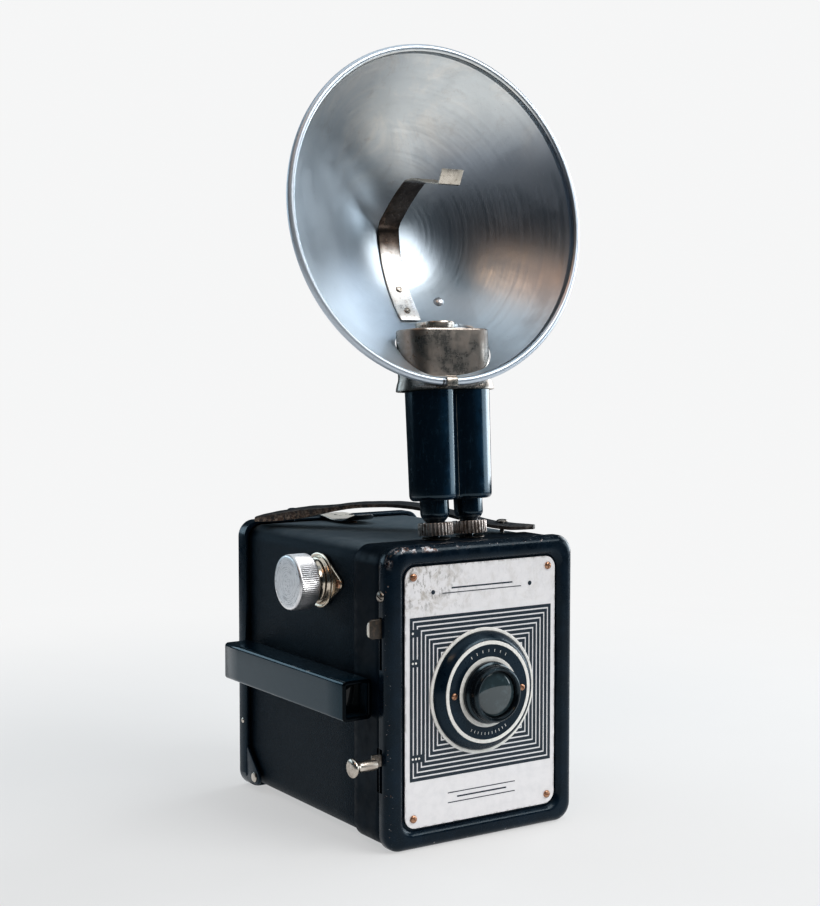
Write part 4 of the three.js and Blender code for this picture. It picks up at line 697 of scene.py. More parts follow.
back()
make("hinge_rod_piece", *merge(*[moved(lathe([(0, 0), (1.05, 0), (1.05, 0.7), (2.0, 0.7), (2.0, 1.0), (1.7, 1.35), (1.0, 1.5), (0, 1.55)], 28), axisM((s * 41.3, 98, 6), (s, 0, 0))) for s in (-1, 1)],
     moved(lathe([(0, 0), (1.05, 0), (1.05, 82.8), (0, 82.8)], 20), axisM((-41.4, 98, 6), (1, 0, 0)))), "camera", M_NICK, ("hinge_rod",))
make("side_rivet_rear", *lathe([(0, -0.3), (1.1, -0.3), (1.1, 0.15), (0.8, 0.4), (0, 0.5)], 20), "door", M_NICK, M=axisM((-42.15, 107.6, 27.4), (-1, 0, 0)), slot="nickel")


# ------------------------------------------------------------------ latch leaf
def leaf():
    path = [(109.4, 109.35), (105.8, 109.35), (102, 109.0), (98, 108.4), (94, 108.2), (90, 108.25), (87.5, 108.5), (85.2, 109.2), (83.2, 110.1), (81.5, 110.9)]
    hwid = [6.0, 6.6, 6.75, 6.75, 6.75, 6.75, 6.7, 6.4, 5.4, 3.6]
    rings = []
    for i, ((y, z), w) in enumerate(zip(path, hwid)):
        a = path[max(0, i - 1)]; b = path[min(len(path) - 1, i + 1)]
        ty, tz = b[0] - a[0], b[1] - a[1]; l = math.hypot(ty, tz); ny, nz = tz / l, -ty / l
        t = 0.5
        rings.append([(-w, y, z), (-w * 0.5, y, z), (0, y, z), (w * 0.5, y, z), (w, y, z), (w, y + ny * t, z + nz * t), (w * 0.5, y + ny * t, z + nz * t), (0, y + ny * t, z + nz * t), (-w * 0.5, y + ny * t, z + nz * t), (-w, y + ny * t, z + nz * t)])
    m = Mat("latch_black_nickel", (0.02, 0.028, 0.038), 0.25)
    w = m.math('MULTIPLY', m.step(m.y, 92, 97), m.step(m.noise(0.25, 3, 0.6), 0.30, 0.42))
    m.set('Base Color', m.mix(w, (0.004, 0.010, 0.018), (0.90, 0.85, 0.78))); m.set('Metallic', m.math('MULTIPLY', w, 0.35)); m.set('Roughness', m.mixf(w, 0.22, 0.4)); m.bump(m.noise(1.0, 3, 0.5), 0.15, 0.05)
    make("latch_spring", *loft(rings), "latch", m.m, ("latch_leaf",), bevel=0.12, angle=40)


leaf()


# ------------------------------------------------------------------ winding knob and escutcheon
def knob():
    y, z, x0, x1, R = 47.1, 92.0, -54.6, -46.1, 10.35
    T = 84
    def ring(r, x, k):
        out = []
        for i in range(T * 4):
            a = 2 * math.pi * i / (T * 4)
            ph = (i % 4)
            d = (0.0, 0.11, 0.22, 0.11)[ph] * k
            out.append((x, y + (r - d) * math.cos(a), z + (r - d) * math.sin(a)))
        return out
    rings = [ring(3.0, x1 - 4.0, 0), ring(8.4, x1 - 4.0, 0), ring(8.6, x1 - 0.2, 0), ring(8.8, x1, 0), ring(9.9, x1, 0), ring(10.2, x1 - 0.25, 0.6), ring(R, x1 - 0.6, 1), ring(R, -49.2, 1), ring(R, -52.4, 1), ring(R - 0.02, x0 + 1.15, 1), ring(R - 0.06, x0 + 0.95, 0.5),
             ring(R - 0.12, x0 + 0.75, 0), ring(R - 0.25, x0 + 0.4, 0), ring(R - 0.5, x0 + 0.15, 0), ring(R - 0.85, x0 + 0.02, 0), ring(R - 1.3, x0, 0), ring(7, x0 + 0.03, 0), ring(4, x0 + 0.05, 0), ring(1.5, x0 + 0.05, 0)]
    m = Mat("knob_aluminium", (0.78, 0.79, 0.81), 0.34, 1.0)
    dy = m.math('SUBTRACT', m.y, y); dz = m.math('SUBTRACT', m.z, z)
    r = m.math('SQRT', m.math('ADD', m.math('POWER', dy, 2), m.math('POWER', dz, 2)))
    rn = m.n('ShaderNodeTexNoise'); rn.noise_dimensions = '1D'; m.l(r, rn.inputs['W']); rn.inputs['Scale'].default_value = 3.4; rn.inputs['Detail'].default_value = 4
    face = m.step(m.math('MULTIPLY', m.x, -1), 54.1, 54.5)
    blot = m.step(m.noise(0.45, 5, 0.7), 0.36, 0.66)
    sc = m.step(m.noise(1.0, 4, 0.7, m.scale(m.P, 1, 3.0, 0.4)), 0.66, 0.71)
    col = m.mix(m.math('MULTIPLY', blot, 0.35), (0.94, 0.94, 0.96), (0.70, 0.70, 0.72))
    arcs = m.n('ShaderNodeTexNoise'); arcs.noise_dimensions = '2D'; cv = m.n('ShaderNodeCombineXYZ'); m.l(m.math('MULTIPLY', r, 2.6), cv.inputs[0]); m.l(m.math('MULTIPLY', m.math('ARCTAN2', dy, dz), 1.2), cv.inputs[1]); m.l(cv.outputs[0], arcs.inputs['Vector']); arcs.inputs['Scale'].default_value = 1.0; arcs.inputs['Detail'].default_value = 4
    col = m.mix(m.math('MULTIPLY', m.math('MULTIPLY', m.step(arcs.outputs[0], 0.50, 0.66), face), 0.55), col, (0.42, 0.43, 0.45))
    col = m.mix(m.math('MULTIPLY', m.step(m.noise(0.8, 4, 0.6), 0.66, 0.70), 0.55), col, (0.22, 0.20, 0.18))
    pit = m.math('MULTIPLY', m.step(m.math('SUBTRACT', R - 0.12, r), 0.0, 0.25), m.math('SUBTRACT', 1.0, face))
    col = m.mix(m.math('MULTIPLY', pit, 0.6), col, (0.20, 0.20, 0.20))
    nick = m.math('MULTIPLY', m.math('MULTIPLY', m.step(m.noise(1.1, 4, 0.7), 0.60, 0.65), m.step(r, 5.5, 9.5)), face)
    col = m.mix(nick, col, (0.16, 0.15, 0.14))
    m.set('Base Color', col); m.set('Roughness', m.math('ADD', 0.36, m.math('MULTIPLY', m.math('ADD', blot, sc), 0.12)))
    m.bump(rn.outputs[0], 0.22, 0.05); m.bump(m.noise(0.6, 4, 0.6), 0.2, 0.10)
    v, f = loft(rings)
    shaft = moved(lathe([(0, 0), (1.9, 0), (1.9, 21.7), (0, 21.7)], 28), axisM((x1 - 4.2, y, z), (1, 0, 0)))
    make("knob_wheel", *merge((v, f), shaft, boxv(-31.9, -30.3, y - 0.55, y + 0.55, z - 3.1, z + 3.1)), "knob", m.m, ("winding_knob",), angle=38)
    # escutcheon: rounded rhombus with a turned-up rim and a stepped collar
    pts = []
    P = [(-17.6, 0), (0, -11.6), (17.6, 0), (0, 11.6)]
    t = [0.2, 0.55, 0.2, 0.55]
    for i in range(4):
        a, b, c = P[i], P[i - 1], P[(i + 1) % 4]
        p0 = (a[0] + (b[0] - a[0]) * t[i], a[1] + (b[1] - a[1]) * t[i]); p1 = (a[0] + (c[0] - a[0]) * t[i], a[1] + (c[1] - a[1]) * t[i])
        for k in range(13):
            s = k / 12
            pts.append(((1 - s) ** 2 * p0[0] + 2 * s * (1 - s) * a[0] * 1.02 + s * s * p1[0], (1 - s) ** 2 * p0[1] + 2 * s * (1 - s) * a[1] * 1.02 + s * s * p1[1]))
    def er(k, x): return [(x, y + p[0] * k, z + p[1] * k) for p in pts]
    plate_v = loft([er(1, -40.1), er(1.0, -40.7), er(0.985, -40.95), er(0.96, -41.0), er(0.93, -40.92), er(0.90, -40.86), er(0.3, -40.86), er(0.3, -40.1)], loop=True)
    e = make("escutcheon_plate", *plate_v, "camera", M_ESC, ("escutcheon",), angle=30)
    col_ = [(5.0, 0.2), (10.25, 0.2), (10.35, 0.5), (10.2, 0.85), (9.85, 0.98), (9.5, 0.9), (9.2, 0.75), (8.95, 0.8), (8.75, 1.1), (8.65, 1.6), (8.45, 1.95), (8.1, 2.1), (7.75, 2.15), (7.45, 2.4), (7.25, 2.9), (7.15, 3.5), (7.05, 4.2), (6.85, 4.7), (6.4, 4.95), (5.8, 4.95), (5.4, 4.7), (5.2, 4.2), (5.2, 2.0), (2.1, 2.0), (2.1, 0.2)]
    make("escutcheon_collar", *lathe(col_, 72, True), "camera", M_ESC, M=axisM((-40.5, y, z), (-1, 0, 0)), slot="nickel", angle=30)
    for n, s in (("front", -1), ("rear", 1)):
        screw("esc_screw_" + n, (-40.85, y + s * 13.9, z), (-1, 0, 0), 1.6, 0.6, M_COPPER, ("escutcheon_screw_" + n,), rot=0.5 + s)


knob()


# ------------------------------------------------------------------ viewfinder tunnel
def finder():
    x0, x1, z0, z1, y0, y1, w = -53.3, -41.6, 47.0, 61.4, 9.0, 101.5, 1.5
    S = []
    def s(k, y, r): S.append((x0 + k, x1 - k, z0 + k, z1 - k, r, y))
    s(w + 0.15, y0 + 30, 0.5)
    s(w + 0.1, y0 + 1.2, 0.5); s(w, y0 + 0.5, 0.6); s(w - 0.25, y0 + 0.1, 0.75); s(w - 0.55, y0, 0.9); s(0.6, y0, 1.2); s(0.2, y0 + 0.15, 1.35); s(0, y0 + 0.5, 1.4)
    for i in range(1, 8): s(0, y0 + 0.5 + (y1 - y0 - 1) * i / 8, 1.4)
    s(0, y1 - 0.5, 1.4); s(0.2, y1 - 0.15, 1.3); s(0.6, y1, 1.1); s(w - 0.3, y1, 0.8); s(w, y1 - 0.5, 0.6); s(w + 0.15, y1 - 4, 0.5)
    o = make("finder_body", *loft(secY(S, 6), loop=True), "camera", M_FIND, ("viewfinder_tube",), angle=35)
    foot = merge(*[boxv(-42.0, -40.0, yy - 4, yy + 4, 50, 58.4) for yy in (34, 88)])
    make("finder_feet", *foot, "camera", M_FIND, bevel=0.3, slot="bakelite")
    # the two lenses
    for n, ya, yb, node in (("front", 14.0, 15.6, "finder_front_lens"), ("eye", 98.3, 99.7, "finder_eye_lens")):
        r = []
        for k, y in ((0.5, ya + 0.3), (0, ya + 0.6), (0, yb - 0.4), (0.4, yb), ):
            r.append([(a, y, b) for a, b in rr(x0 + w + 0.3 + k, x1 - w - 0.3 - k, z0 + w + 0.3 + k, z1 - w - 0.3 - k, 0.6, 5)])
        make("finder_lens_" + n, *loft(r), "camera", M_GLASS2, (node,), angle=25)


finder()


# ------------------------------------------------------------------ controls on the left side
def controls():
    bar = boxv(-45.3, -12, 2.7, 3.7, 31.2, 35.6)
    rod = [(0, 0), (1.9, 0), (2.0, 0.2), (2.0, 6.6), (2.05, 7.2), (2.25, 7.7), (2.7, 8.3), (3.2, 8.7), (3.4, 9.0), (3.45, 9.3), (3.4, 9.7), (3.1, 10.05), (2.4, 10.35), (1.2, 10.5), (0, 10.52)]
    make("release_bar", *merge(bar, moved(lathe([(0, 0), (3.4, 0), (3.4, 1), (0, 1)], 32), axisM((-12, 2.7, 34.6), (0, 1, 0)))), "release", M_TAB, ("release_lever",), bevel=0.15)
    make("release_button", *lathe(rod, 48), "release", M_NICK, M=axisM((-44.5, 1.9, 32.6), (-1, 0, 0)), slot="nickel")
    tab = rr(2.6, 3.8, 76.6, 83.4, 0.4, 3)
    v = [(-47.2 if False else 0, 0, 0)]
    rings = []
    for x, k in ((-39.6, 0), (-44.9, 0), (-45.6, 0.2), (-46.2, 0.6), (-46.6, 1.1), (-46.85, 1.7), (-46.9, 2.2)):
        q = 0.35 if k > 1.0 else 0.0
        rings.append([(x, a, b) for a, b in rr(2.6 + q * 0.6, 3.8 - q * 0.6, 76.5 + k, 83.5 - k, 0.3, 4)])
    tm = Mat("tab_painted_highlight", (0.06, 0.05, 0.045), 0.38, 0.25)
    # painted highlight: the rounded outer tip of the tab is painted pale where it catches the light
    lit = tm.step(tm.math('MULTIPLY', tm.x, -1), 46.2, 46.7)
    tm.set('Base Color', tm.mix(lit, tm.mix(tm.step(tm.noise(0.6, 4, 0.6), 0.4, 0.65), (0.055, 0.048, 0.042), (0.11, 0.085, 0.065)), (0.86, 0.82, 0.75))); tm.bump(tm.noise(1.2, 3, 0.6), 0.15, 0.04)
    make("time_tab", *loft(rings), "time", tm.m, ("time_slide",), angle=40)
    make("time_strip", *boxv(-39.8, -36, 2.8, 3.6, 60, 84.5), "time", M_TAB, bevel=0.1, slot="nickel")
    screw("side_screw_head", (-41.5, 3.1, 91.3), (-1, 0, 0), 2.05, 1.15, M_TAB, ("side_screw",), rot=1.1, slotw=0.45)


controls()


# ------------------------------------------------------------------ strap
def strap():
    A, B = Vector((-36.5, 102.5, 0)), Vector((35.5, 15.5, 0))
    L = (B - A).length; d = (B - A).normalized(); nrm = Vector((-d.y, d.x, 0))
    under = [(0, 0.1), (0.06, 0.3), (0.13, 1.2), (0.2, 2.5), (0.28, 4.7), (0.36, 6.4), (0.46, 7.25), (0.54, 7.2), (0.64, 5.9), (0.74, 3.6), (0.84, 1.1), (0.92, 0.1), (1, 0.3)]
    over = [(0, 2.3), (0.06, 4.1), (0.13, 5.6), (0.2, 6.6), (0.26, 7.2), (0.36, 8.5), (0.46, 9.2), (0.54, 9.15), (0.64, 7.85), (0.74, 5.55), (0.84, 3.05), (0.92, 2.05), (1, 2.1)]
    def hgt(t, prof):
        for i in range(len(prof) - 1):
            if t <= prof[i + 1][0]:
                p0, p1, p2, p3 = prof[max(0, i - 1)], prof[i], prof[i + 1], prof[min(len(prof) - 1, i + 2)]
                s = (t - p1[0]) / (p2[0] - p1[0])
                m1 = (p2[1] - p0[1]) / (p2[0] - p0[0]) * (p2[0] - p1[0]); m2 = (p3[1] - p1[1]) / (p3[0] - p1[0]) * (p2[0] - p1[0])
                return (2 * s ** 3 - 3 * s ** 2 + 1) * p1[1] + (s ** 3 - 2 * s ** 2 + s) * m1 + (-2 * s ** 3 + 3 * s ** 2) * p2[1] + (s ** 3 - s ** 2) * m2
        return prof[-1][1]
    N = 110
    sec = []
    for k in range(7): sec.append((-1 + 2 * k / 6.0, 0))
    rings, edge = [], []
    th = 1.95
    for i in range(N + 1):
        t = i / N
        z = 109.05 + hgt(t, under)
        c = A + d * (L * t)
        w = 6.4
        if t < 0.03: w = 5.5 + 0.9 * (t / 0.03)
        if t > 0.925: w = 6.4 - 4.6 * ((t - 0.925) / 0.075) ** 1.1
        wob = 0.16 * math.sin(t * 61) + 0.11 * math.sin(t * 137 + 1) + 0.08 * math.sin(t * 263 + 2)
        wl, wr = w + wob, w - 0.13 * math.sin(t * 83 + 0.5) - 0.1 * math.sin(t * 171)
        tt = (hgt(t, over) - hgt(t, under)) * (1 - 0.06 * math.sin(t * 17) ** 2)
        ring = []
        m = 10
        # top from left to right, slightly crowned, then underside back
        for k in range(m + 1):
            s = -1 + 2.0 * k / m
            off = s * (wr if s > 0 else wl)
            cr = tt * (1 - 0.22 * abs(s) ** 6) + 0.10 * math.sin(t * 97 + s * 3) * (1 - abs(s) ** 2) * 0.5
            ring.append((*(c + nrm * off).xy, z + cr))
        for k in range(m, -1, -1):
            s = -1 + 2.0 * k / m
            off = s * (wr if s > 0 else wl) * 1.0
            ring.append((*(c + nrm * off).xy, z + 0.30 * abs(s) ** 6))
        rings.append(ring)
    o = make("strap_leather", *loft(rings), "camera", M_LEATH, ("carry_strap",), angle=60)
    me = o.data
    at = me.attributes.new('edge', 'FLOAT', 'POINT')
    for i, v in enumerate(me.vertices):
        p = Vector((v.co.x / MM, v.co.y / MM + 3, 0)) - A
        across = abs(p.dot(nrm)); along = p.dot(d)
        e = 0.0
        w = 6.4 if along < L * 0.925 else 6.4 - 4.6 * max(0, (along / L - 0.925) / 0.075) ** 1.1
        if across > w - 0.75: e = 1.0
        if along < 1.0 or along > L - 1.2: e = 1.0
        if 0 < (along - L * 0.93) < 6 and across > w - 2.4: e = 0.8
        if L * 0.5 < along: e *= 0.25
        if (i % 22) < 11: e *= 0.35
        at.data[i].value = e
    for n, x, y, z in (("rear", -27.5, 91.5, 113.7), ("front", 27.5, 25.3, 111.8)):
        make("strap_rivet_" + n, *lathe([(0, -4.2), (0.8, -4.2), (0.8, 0), (2.2, 0), (2.25, 0.25), (2.0, 0.6), (1.4, 0.9), (0.6, 1.0), (0, 1.02)], 32), "camera", M_TAB if n == "front" else M_ENAM, ("strap_stud_" + n,), M=Matrix.Translation((x, y, z)))


strap()


# ------------------------------------------------------------------ flash gun body
def flash():
    for tag, s in (("l", -1), ("r", 1)):
        u = s * 7.6
        C = LEAN @ Matrix.Translation((u, 0, 0))
        T = 28
        def ring(r, h, k):
            out = []
            for i in range(T * 6):
                a = 2 * math.pi * i / (T * 6)
                dd = (0.0, 0.0, 0.10, 0.42, 0.42, 0.10)[i % 6] * k
                out.append(((r - dd) * math.cos(a), (r - dd) * math.sin(a), h))
            return out
        R = 6.5
        rings = [ring(3.56, 0.5, 0), ring(6.1, 0.5, 0), ring(6.4, 0.55, 0.6), ring(R, 0.8, 1), ring(R, 2.6, 1), ring(R, 4.85, 1), ring(6.42, 5.05, 0.6), ring(6.2, 5.18, 0), ring(5.9, 5.2, 0), ring(4.6, 5.2, 0), ring(4.5, 4.9, 0), ring(3.56, 4.9, 0)]
        make("nut_knurled_" + tag, *loft(rings, loop=True), "nut_" + tag, M_NUT, ("knurled_nut_" + tag,), M=C, angle=35)
        make("stem_" + tag, *lathe([(0, -8), (1.0, -8), (1.4, -7.4), (1.4, 0.3), (3.35, 0.7), (3.35, 5.3), (3.6, 5.6), (4.2, 6.2), (4.9, 7.1), (5.25, 7.8), (5.4, 8.6), (5.4, 14.0), (0, 14.0)], 48), "flash", M_BAKE, ("contact_pin_" + tag,), M=C)
        # moulded case half: lobe with a shallow valley to the seam
        def plan(r, vx):
            pts = []
            # start at the seam front, run round the lobe, back to the seam rear, in the half u > 0 (mirrored for the left)
            a0 = rad(-180 + 57); n = 44
            seam = 0.10
            vin = 5.75
            import_pts = []
            for k in range(n + 1):
                a = rad(-122 + 244 * k / n)
                import_pts.append((7.6 + r * math.cos(a), r * math.sin(a)))
            # blend into the valley
            f0 = import_pts[0]; f1 = import_pts[-1]
            pts.append((seam, -(vin + vx * 0)))
            pts.append((seam + 0.5, -(vin + 0.08)))
            pts.append((seam + 1.2, -(vin + 0.42)))
            pts += import_pts
            pts.append((seam + 1.2, (vin + 0.42)))
            pts.append((seam + 0.5, (vin + 0.08)))
            pts.append((seam, vin))
            return [(p[0] * s, p[1]) for p in pts]
        rings = []
        for k, h in ((2.1, 13.3), (1.45, 13.36), (0.9, 13.6), (0.45, 14.0), (0.16, 14.55), (0.0, 15.3)):
            r = 9.1 - k
            P = plan(9.1, 0)
            cx = 7.6 * s
            q = [(cx + (p[0] - cx) * (1 - k / 9.0) if abs(p[0]) > 0.11 else p[0], p[1] * (1 - k / 9.0), h) for p in P]
            rings.append(q)
        for i in range(1, 7):
            t = i / 6; r = 9.1 + 0.4 * t
            rings.append([(p[0], p[1], 15.3 + (53.7 - 15.3) * t) for p in plan(r, 0)])
        rings = [[(p[0] + 0.9 * max(0.0, p[2] - 15.3) / 38.4, p[1], p[2]) for p in q] for q in rings]
        make("case_" + tag, *loft(rings), "flash", M_BAKE, ("case_half_" + tag,), M=LEAN, angle=42)
    # thin pale seam left by the moulding between the halves
    seam = boxv(-0.09, 0.09, -5.62, 5.62, 14.6, 53.6)
    seam = ([(p[0] + 0.9 * max(0.0, p[2] - 15.3) / 38.4, p[1], p[2]) for p in seam[0]], seam[1])
    make("case_seam", *seam, "flash", plain("seam_pale", (0.42, 0.38, 0.33), 0.6), M=LEAN, slot="bakelite")

    def stad(a, r, h, n=22):
        out = []
        for k in range(n + 1):
            t = rad(-90 + 180 * k / n); out.append((a + r * math.cos(t), r * math.sin(t), h))
        for k in range(n + 1):
            t = rad(90 + 180 * k / n); out.append((-a + r * math.cos(t), r * math.sin(t), h))
        return out
    a = 10.0
    R = [stad(a, 9.55, 53.9), stad(a, 10.0, 53.9), stad(a, 10.0, 54.4), stad(a, 9.75, 55.6), stad(a, 9.5, 56.6), stad(a, 9.2, 57.4), stad(a, 9.0, 58.1), stad(a, 8.9, 59.0), stad(a, 8.9, 64), stad(a, 8.9, 70), stad(a, 8.9, 75.5), stad(a, 8.85, 76.0), stad(a, 8.65, 76.3), stad(a, 8.3, 76.35), stad(a, 8.0, 76.2), stad(a, 7.9, 75.6), stad(a, 7.9, 72), stad(a, 7.9, 60), stad(a, 8.3, 58), stad(a, 9.3, 54.6)]
    o = make("housing", *loft(R, loop=True), "flash", M_CUP, ("socket_housing",), M=LEAN, angle=32)
    # inner deck that carries the bulb socket
    deck = loft([stad(a, 7.88, 74.3), stad(a, 7.88, 75.1)])
    d = make("housing_deck", *deck, "flash", M_CUP, M=LEAN, slot="nickel", angle=32)
    cut(d, [tool(*lathe([(0, 0), (7.2, 0), (7.2, 9), (0, 9)], 48), M=LEAN @ Matrix.Translation((-3, 0, 70)))], M_CUP, 32)
    make("bulb_sleeve", *lathe([(0, 68.6), (7.1, 68.6), (7.1, 77.4), (7.3, 77.9), (7.35, 78.6), (7.2, 79.1), (6.9, 79.2), (6.6, 79.0), (6.4, 78.4), (6.4, 69.6), (0, 69.6)], 64), "flash", M_NICK, ("bulb_socket",), M=LEAN @ Matrix.Translation((-3, 0, 0)))
    for n, s in (("l", -1), ("r", 1)):
        make("top_socket_" + n, *lathe([(2.4, 0), (3.2, 0), (3.2, 9.95), (5.2, 9.95), (5.4, 10.05), (5.4, 10.25), (5.2, 10.4), (2.7, 10.4), (2.4, 10.2)], 40, True), "camera", M_TAB, ("flash_socket_" + n,), M=Matrix.Translation((s * 7.6, 18.7, 98)))


flash()


# ------------------------------------------------------------------ reflector, arm, rivets, clip
RIN = BR - 1.2


def dep(r): return BD * (1 - (r / RIN) ** 2)


def wall(x, z):
    r = math.hypot(x, z); k = 2 * BD * r / RIN ** 2
    return Vector((x, dep(r), z)), Vector((-x / r * k, -1, -z / r * k)).normalized()


def reflector():
    # profile in (radius, depth); the lathe axis is +Y of the bowl frame
    prof = []
    N = 40
    for i in range(N + 1):
        r = (RIN - 0.1) * i / N
        prof.append((r, dep(r)))
    cx, cy = BR - BB - 0.04, 0.15
    for a in range(150, -201, -14):
        t = rad(a)
        prof.append((cx + BB * math.cos(t), cy - BB * math.sin(t)))
    for i in range(N - 1, 0, -1):
        r = (RIN - 0.1) * i / N
        prof.append((r, dep(r) + BT))
    prof.append((0, BD + BT))
    A = BOWL @ Matrix.Rotation(rad(-90), 4, 'X')
    o = make("reflector", *lathe([(r, h) for r, h in prof], 160), "flash", M_SPUN, ("reflector_bowl",), M=A, angle=50)

    def stad(a, r, h, n=24):
        out = []
        for k in range(n + 1):
            t = rad(-90 + 180 * k / n); out.append((a + r * math.cos(t), r * math.sin(t), h))
        for k in range(n + 1):
            t = rad(90 + 180 * k / n); out.append((-a + r * math.cos(t), r * math.sin(t), h))
        return out
    t1 = tool(*loft([stad(10, 9.45, 56.9), stad(10, 9.45, 79.8)]), M=LEAN)
    t2 = tool(*lathe([(0, 60), (7.9, 60), (7.9, 82), (0, 82)], 48), M=LEAN @ Matrix.Translation((-3, 0, 0)))
    cut(o, [t1], M_SPUN, 50)
    cut(o, [t2], M_SPUN, 50)
    # arm
    q = []
    for z in (-35.6, -33, -30, -27, -24, -21, -17, -13, -9, -6):
        p, n = wall(0, z); q.append((p.y + n.y * 0.35, p.z + n.z * 0.35))
    q += [(38.4, -2.4), (38.5, 0.2), (38.1, 2.6), (36.6, 4.6), (32.5, 7.4), (27.1, 10.8), (21.8, 13.6), (17.6, 15.5), (16.2, 15.9), (15.0, 15.95), (11.0, 15.6), (8.6, 14.9), (2.6, 12.6), (-1.9, 11.2), (-5.7, 10.1), (-6.5, 10.1), (-6.9, 10.8), (-9.5, 14.6)]
    w, t = 4.6, 0.55
    rings = []
    for i in range(len(q)):
        a, b = q[max(0, i - 1)], q[min(len(q) - 1, i + 1)]
        dy, dz = b[0] - a[0], b[1] - a[1]; l = math.hypot(dy, dz); ny, nz = -dz / l, dy / l
        ww = w
        if i == 0: ww = 4.2
        y, z = q[i]
        rings.append([(-ww, y, z), (-ww * 0.5, y, z), (0, y, z), (ww * 0.5, y, z), (ww, y, z), (ww, y + ny * t, z + nz * t), (ww * 0.5, y + ny * t, z + nz * t), (0, y + ny * t, z + nz * t), (-ww * 0.5, y + ny * t, z + nz * t), (-ww, y + ny * t, z + nz * t)])
    make("arm_strip", *loft(rings), "flash", M_ARM, ("bulb_arm",), M=BOWL, bevel=0.12, angle=30)
    for nm, node, x, z, r, h, lift in (("arm_rivet_a", "arm_rivet_upper", 0, -22.7, 1.35, 0.6, 1.0), ("arm_rivet_b", "arm_rivet_lower", 0, -31.8, 1.35, 0.6, 1.0), ("wall_rivet", "bowl_rivet", 15, -27.5, 2.0, 1.3, 0.0)):
        p, n = wall(x, z)
        A2 = BOWL @ axisM(p + n * lift, n)
        if nm == "wall_rivet":
            prof = [(0, -1.5), (0.7, -1.5), (0.7, 0)] + [(r * math.cos(rad(a)), h * math.sin(rad(a))) for a in range(0, 90, 10)] + [(0, h)]
        else:
            prof = [(0, -1.5), (0.6, -1.5), (0.6, 0), (r, 0), (r, 0.3), (r * 0.8, h), (0.75, h), (0.5, h * 0.4), (0, h * 0.3)]
        make(nm, *lathe(prof, 32), "flash", M_NICK if nm != "wall_rivet" else M_ALU, (node,), M=A2)
    zr = -BR
    pts = [(-0.5, zr + 3.6), (-1.2, zr + 3.3), (-1.75, zr + 2.6), (-1.95, zr + 1.4), (-1.75, zr + 0.3), (-1.1, zr - 0.25), (0.2, zr - 0.45), (1.9, zr - 0.45)]
    rings = []
    for i, (y, z) in enumerate(pts):
        a, b = pts[max(0, i - 1)], pts[min(len(pts) - 1, i + 1)]
        dy, dz = b[0] - a[0], b[1] - a[1]; l = math.hypot(dy, dz); ny, nz = dz / l, -dy / l
        if ny > 0: ny, nz = ny, nz
        o2 = 0.4
        rings.append([(-3.1, y, z), (1.4, y, z), (1.4, y - abs(ny) * o2 * 0.6 if z > zr else y, z - (0.4 if z < zr + 0.4 else 0)), (-3.1, y - abs(ny) * o2 * 0.6 if z > zr else y, z - (0.4 if z < zr + 0.4 else 0))])
    make("bead_clip", *loft(rings), "flash", M_NICK, ("rim_clip",), M=BOWL, bevel=0.1, angle=40)


reflector()

# ------------------------------------------------------------------ stage, light, camera
PALE = 0.775


def disc(name, r0, r1, z, n=96):
    v, f = [], []
    rs = [r0 + (r1 - r0) * i / 8 for i in range(9)]
    for r in rs:
        for i in range(n):
            a = 2 * math.pi * i / n; v.append((r * math.cos(a), 0.04 + r * math.sin(a), z))
    for j in range(8):
        for i in range(n):
            k = (i + 1) % n; f.append((j * n + i, j * n + k, (j + 1) * n + k, (j + 1) * n + i))
    me = bpy.data.meshes.new(name); me.from_pydata(v, [], f)
    o = bpy.data.objects.new(name, me); bpy.context.scene.collection.objects.link(o)
    return o


def camera_only(o):
    o.visible_diffuse = False; o.visible_glossy = False; o.visible_transmission = False; o.visible_shadow = False; o.visible_volume_scatter = False


def stage():
    # pale floor near the object: part matt white, part self lit, going over to plain pale with distance
    m = Mat("floor_pale", (0.42, 0.42, 0.42), 0.9)
    m.set('Specular IOR Level', 0.0)
    r = m.math('SQRT', m.math('ADD', m.math('POWER', m.x, 2), m.math('POWER', m.math('SUBTRACT', m.y, 40), 2)))
    far = m.step(r, 180, 520)
    grain = m.math('MULTIPLY', m.noise(0.02, 2, 0.5), 0.01)
    m.set('Base Color', m.mix(far, (0.34, 0.34, 0.34), (0.0, 0.0, 0.0)))
    m.set('Emission Color', (0.995, 0.998, 1.0, 1))
    m.set('Emission Strength', m.math('ADD', m.mixf(far, FLOOR_E, PALE - 0.005), grain))
    f0 = disc("floor_near", 0.0005, 0.6, 0.0)
    f0.data.materials.append(m.m)
    e = Mat("floor_far_pale", (0, 0, 0), 0.9)
    e.set('Specular IOR Level', 0.0); e.set('Emission Color', (0.995, 0.998, 1.0, 1)); e.set('Emission Strength', PALE)
    f1 = disc("floor_far", 0.6, 3.0, 0.0)
    f1.data.materials.append(e.m); camera_only(f1)
    bm = bmesh.new(); bmesh.ops.create_uvsphere(bm, u_segments=48, v_segments=24, radius=3.0)
    me = bpy.data.meshes.new("backdrop_dome"); bm.to_mesh(me); bm.free()
    o = bpy.data.objects.new("backdrop_dome", me); bpy.context.scene.collection.objects.link(o)
    o.location = (0, 0.04, 0); o.scale = (1, 1, 1)
    for p in me.polygons: p.use_smooth = True
    me.materials.append(e.m); camera_only(o)


FLOOR_E = 0.43
stage()


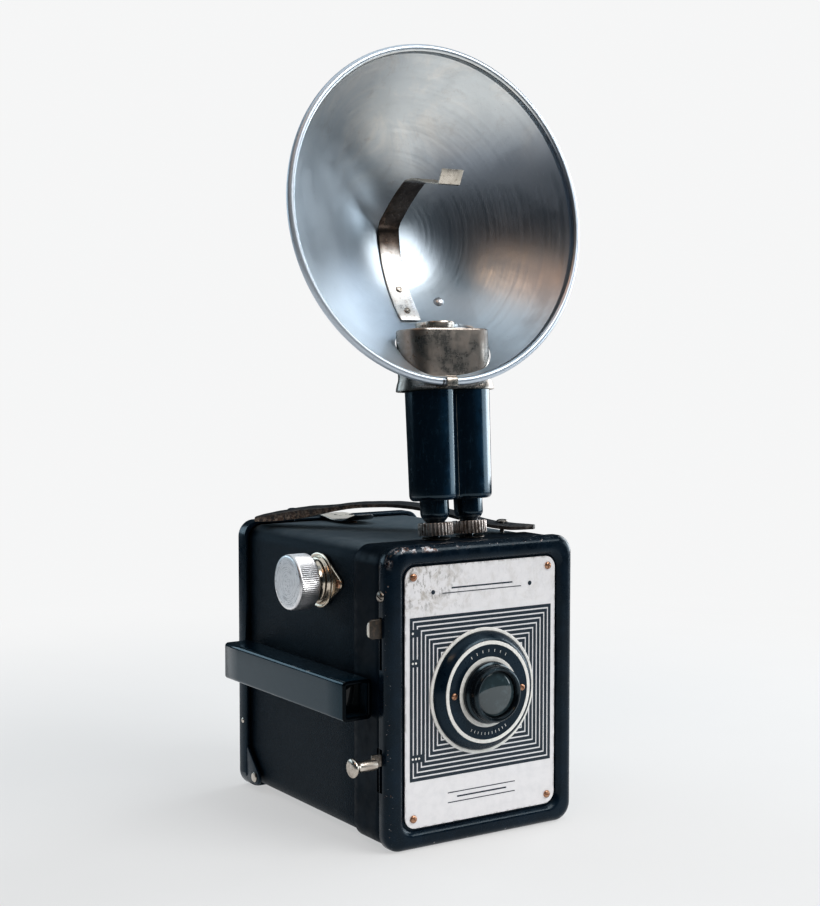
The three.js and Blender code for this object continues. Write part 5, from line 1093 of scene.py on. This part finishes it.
def area(name, az, el, dist, size, power, col=(1, 1, 1), sy=None, target=(0, 0.03, 0.14)):
    # azimuth is counted from straight in front (-Y) towards +X
    l = bpy.data.lights.new(name, 'AREA'); l.shape = 'RECTANGLE'; l.size = size; l.size_y = sy or size; l.energy = power; l.color = col
    o = bpy.data.objects.new(name, l); bpy.context.scene.collection.objects.link(o)
    a, e = rad(az), rad(el)
    t = Vector(target)
    loc = t + dist * Vector((math.sin(a) * math.cos(e), -math.cos(a) * math.cos(e), math.sin(e)))
    o.location = loc
    o.rotation_euler = (t - loc).to_track_quat('-Z', 'Y').to_euler()
    o.visible_camera = False
    return o


area("key_soft", 29, 42, 1.4, 1.0, 10.8, (1.0, 0.99, 0.975), 0.7)
area("top_soft", 180, 80, 1.35, 1.8, 8.5, (0.90, 0.96, 1.0))
area("right_soft", 100, 14, 1.3, 0.9, 10.0, (0.93, 0.97, 1.0), 0.85)
area("back_left_soft", -147, 14, 1.2, 0.9, 2.6, (0.70, 0.88, 1.0), 0.5)
area("right_low", 74, 3, 1.15, 0.9, 3.2, (0.86, 0.94, 1.0), 0.42)
area("warm_left", -52, 48, 1.2, 0.35, 0.8, (1.0, 0.58, 0.33), 0.2)
w = bpy.data.worlds.new("studio"); bpy.context.scene.world = w; w.use_nodes = True
w.node_tree.nodes["Background"].inputs[0].default_value = (0.62, 0.85, 1.0, 1); w.node_tree.nodes["Background"].inputs[1].default_value = 0.05

cam = bpy.data.cameras.new("photo_view"); co = bpy.data.objects.new("photo_view", cam); bpy.context.scene.collection.objects.link(co)
cam.sensor_width = 36.0; cam.sensor_fit = 'AUTO'; cam.lens = 36.0 * 1568.919 / 906.0; cam.clip_start = 0.01; cam.clip_end = 50
co.location = (-0.330573, -0.460797, 0.174258)
yaw, pitch = 0.5790, -0.0600
dvec = Vector((math.sin(yaw) * math.cos(pitch), math.cos(yaw) * math.cos(pitch), math.sin(pitch)))
co.rotation_euler = dvec.to_track_quat('-Z', 'Y').to_euler()
bpy.context.scene.camera = co
vs = bpy.context.scene.view_settings
vs.view_transform = 'Standard'; vs.look = 'Medium High Contrast'; vs.exposure = 0.0; vs.gamma = 1.0
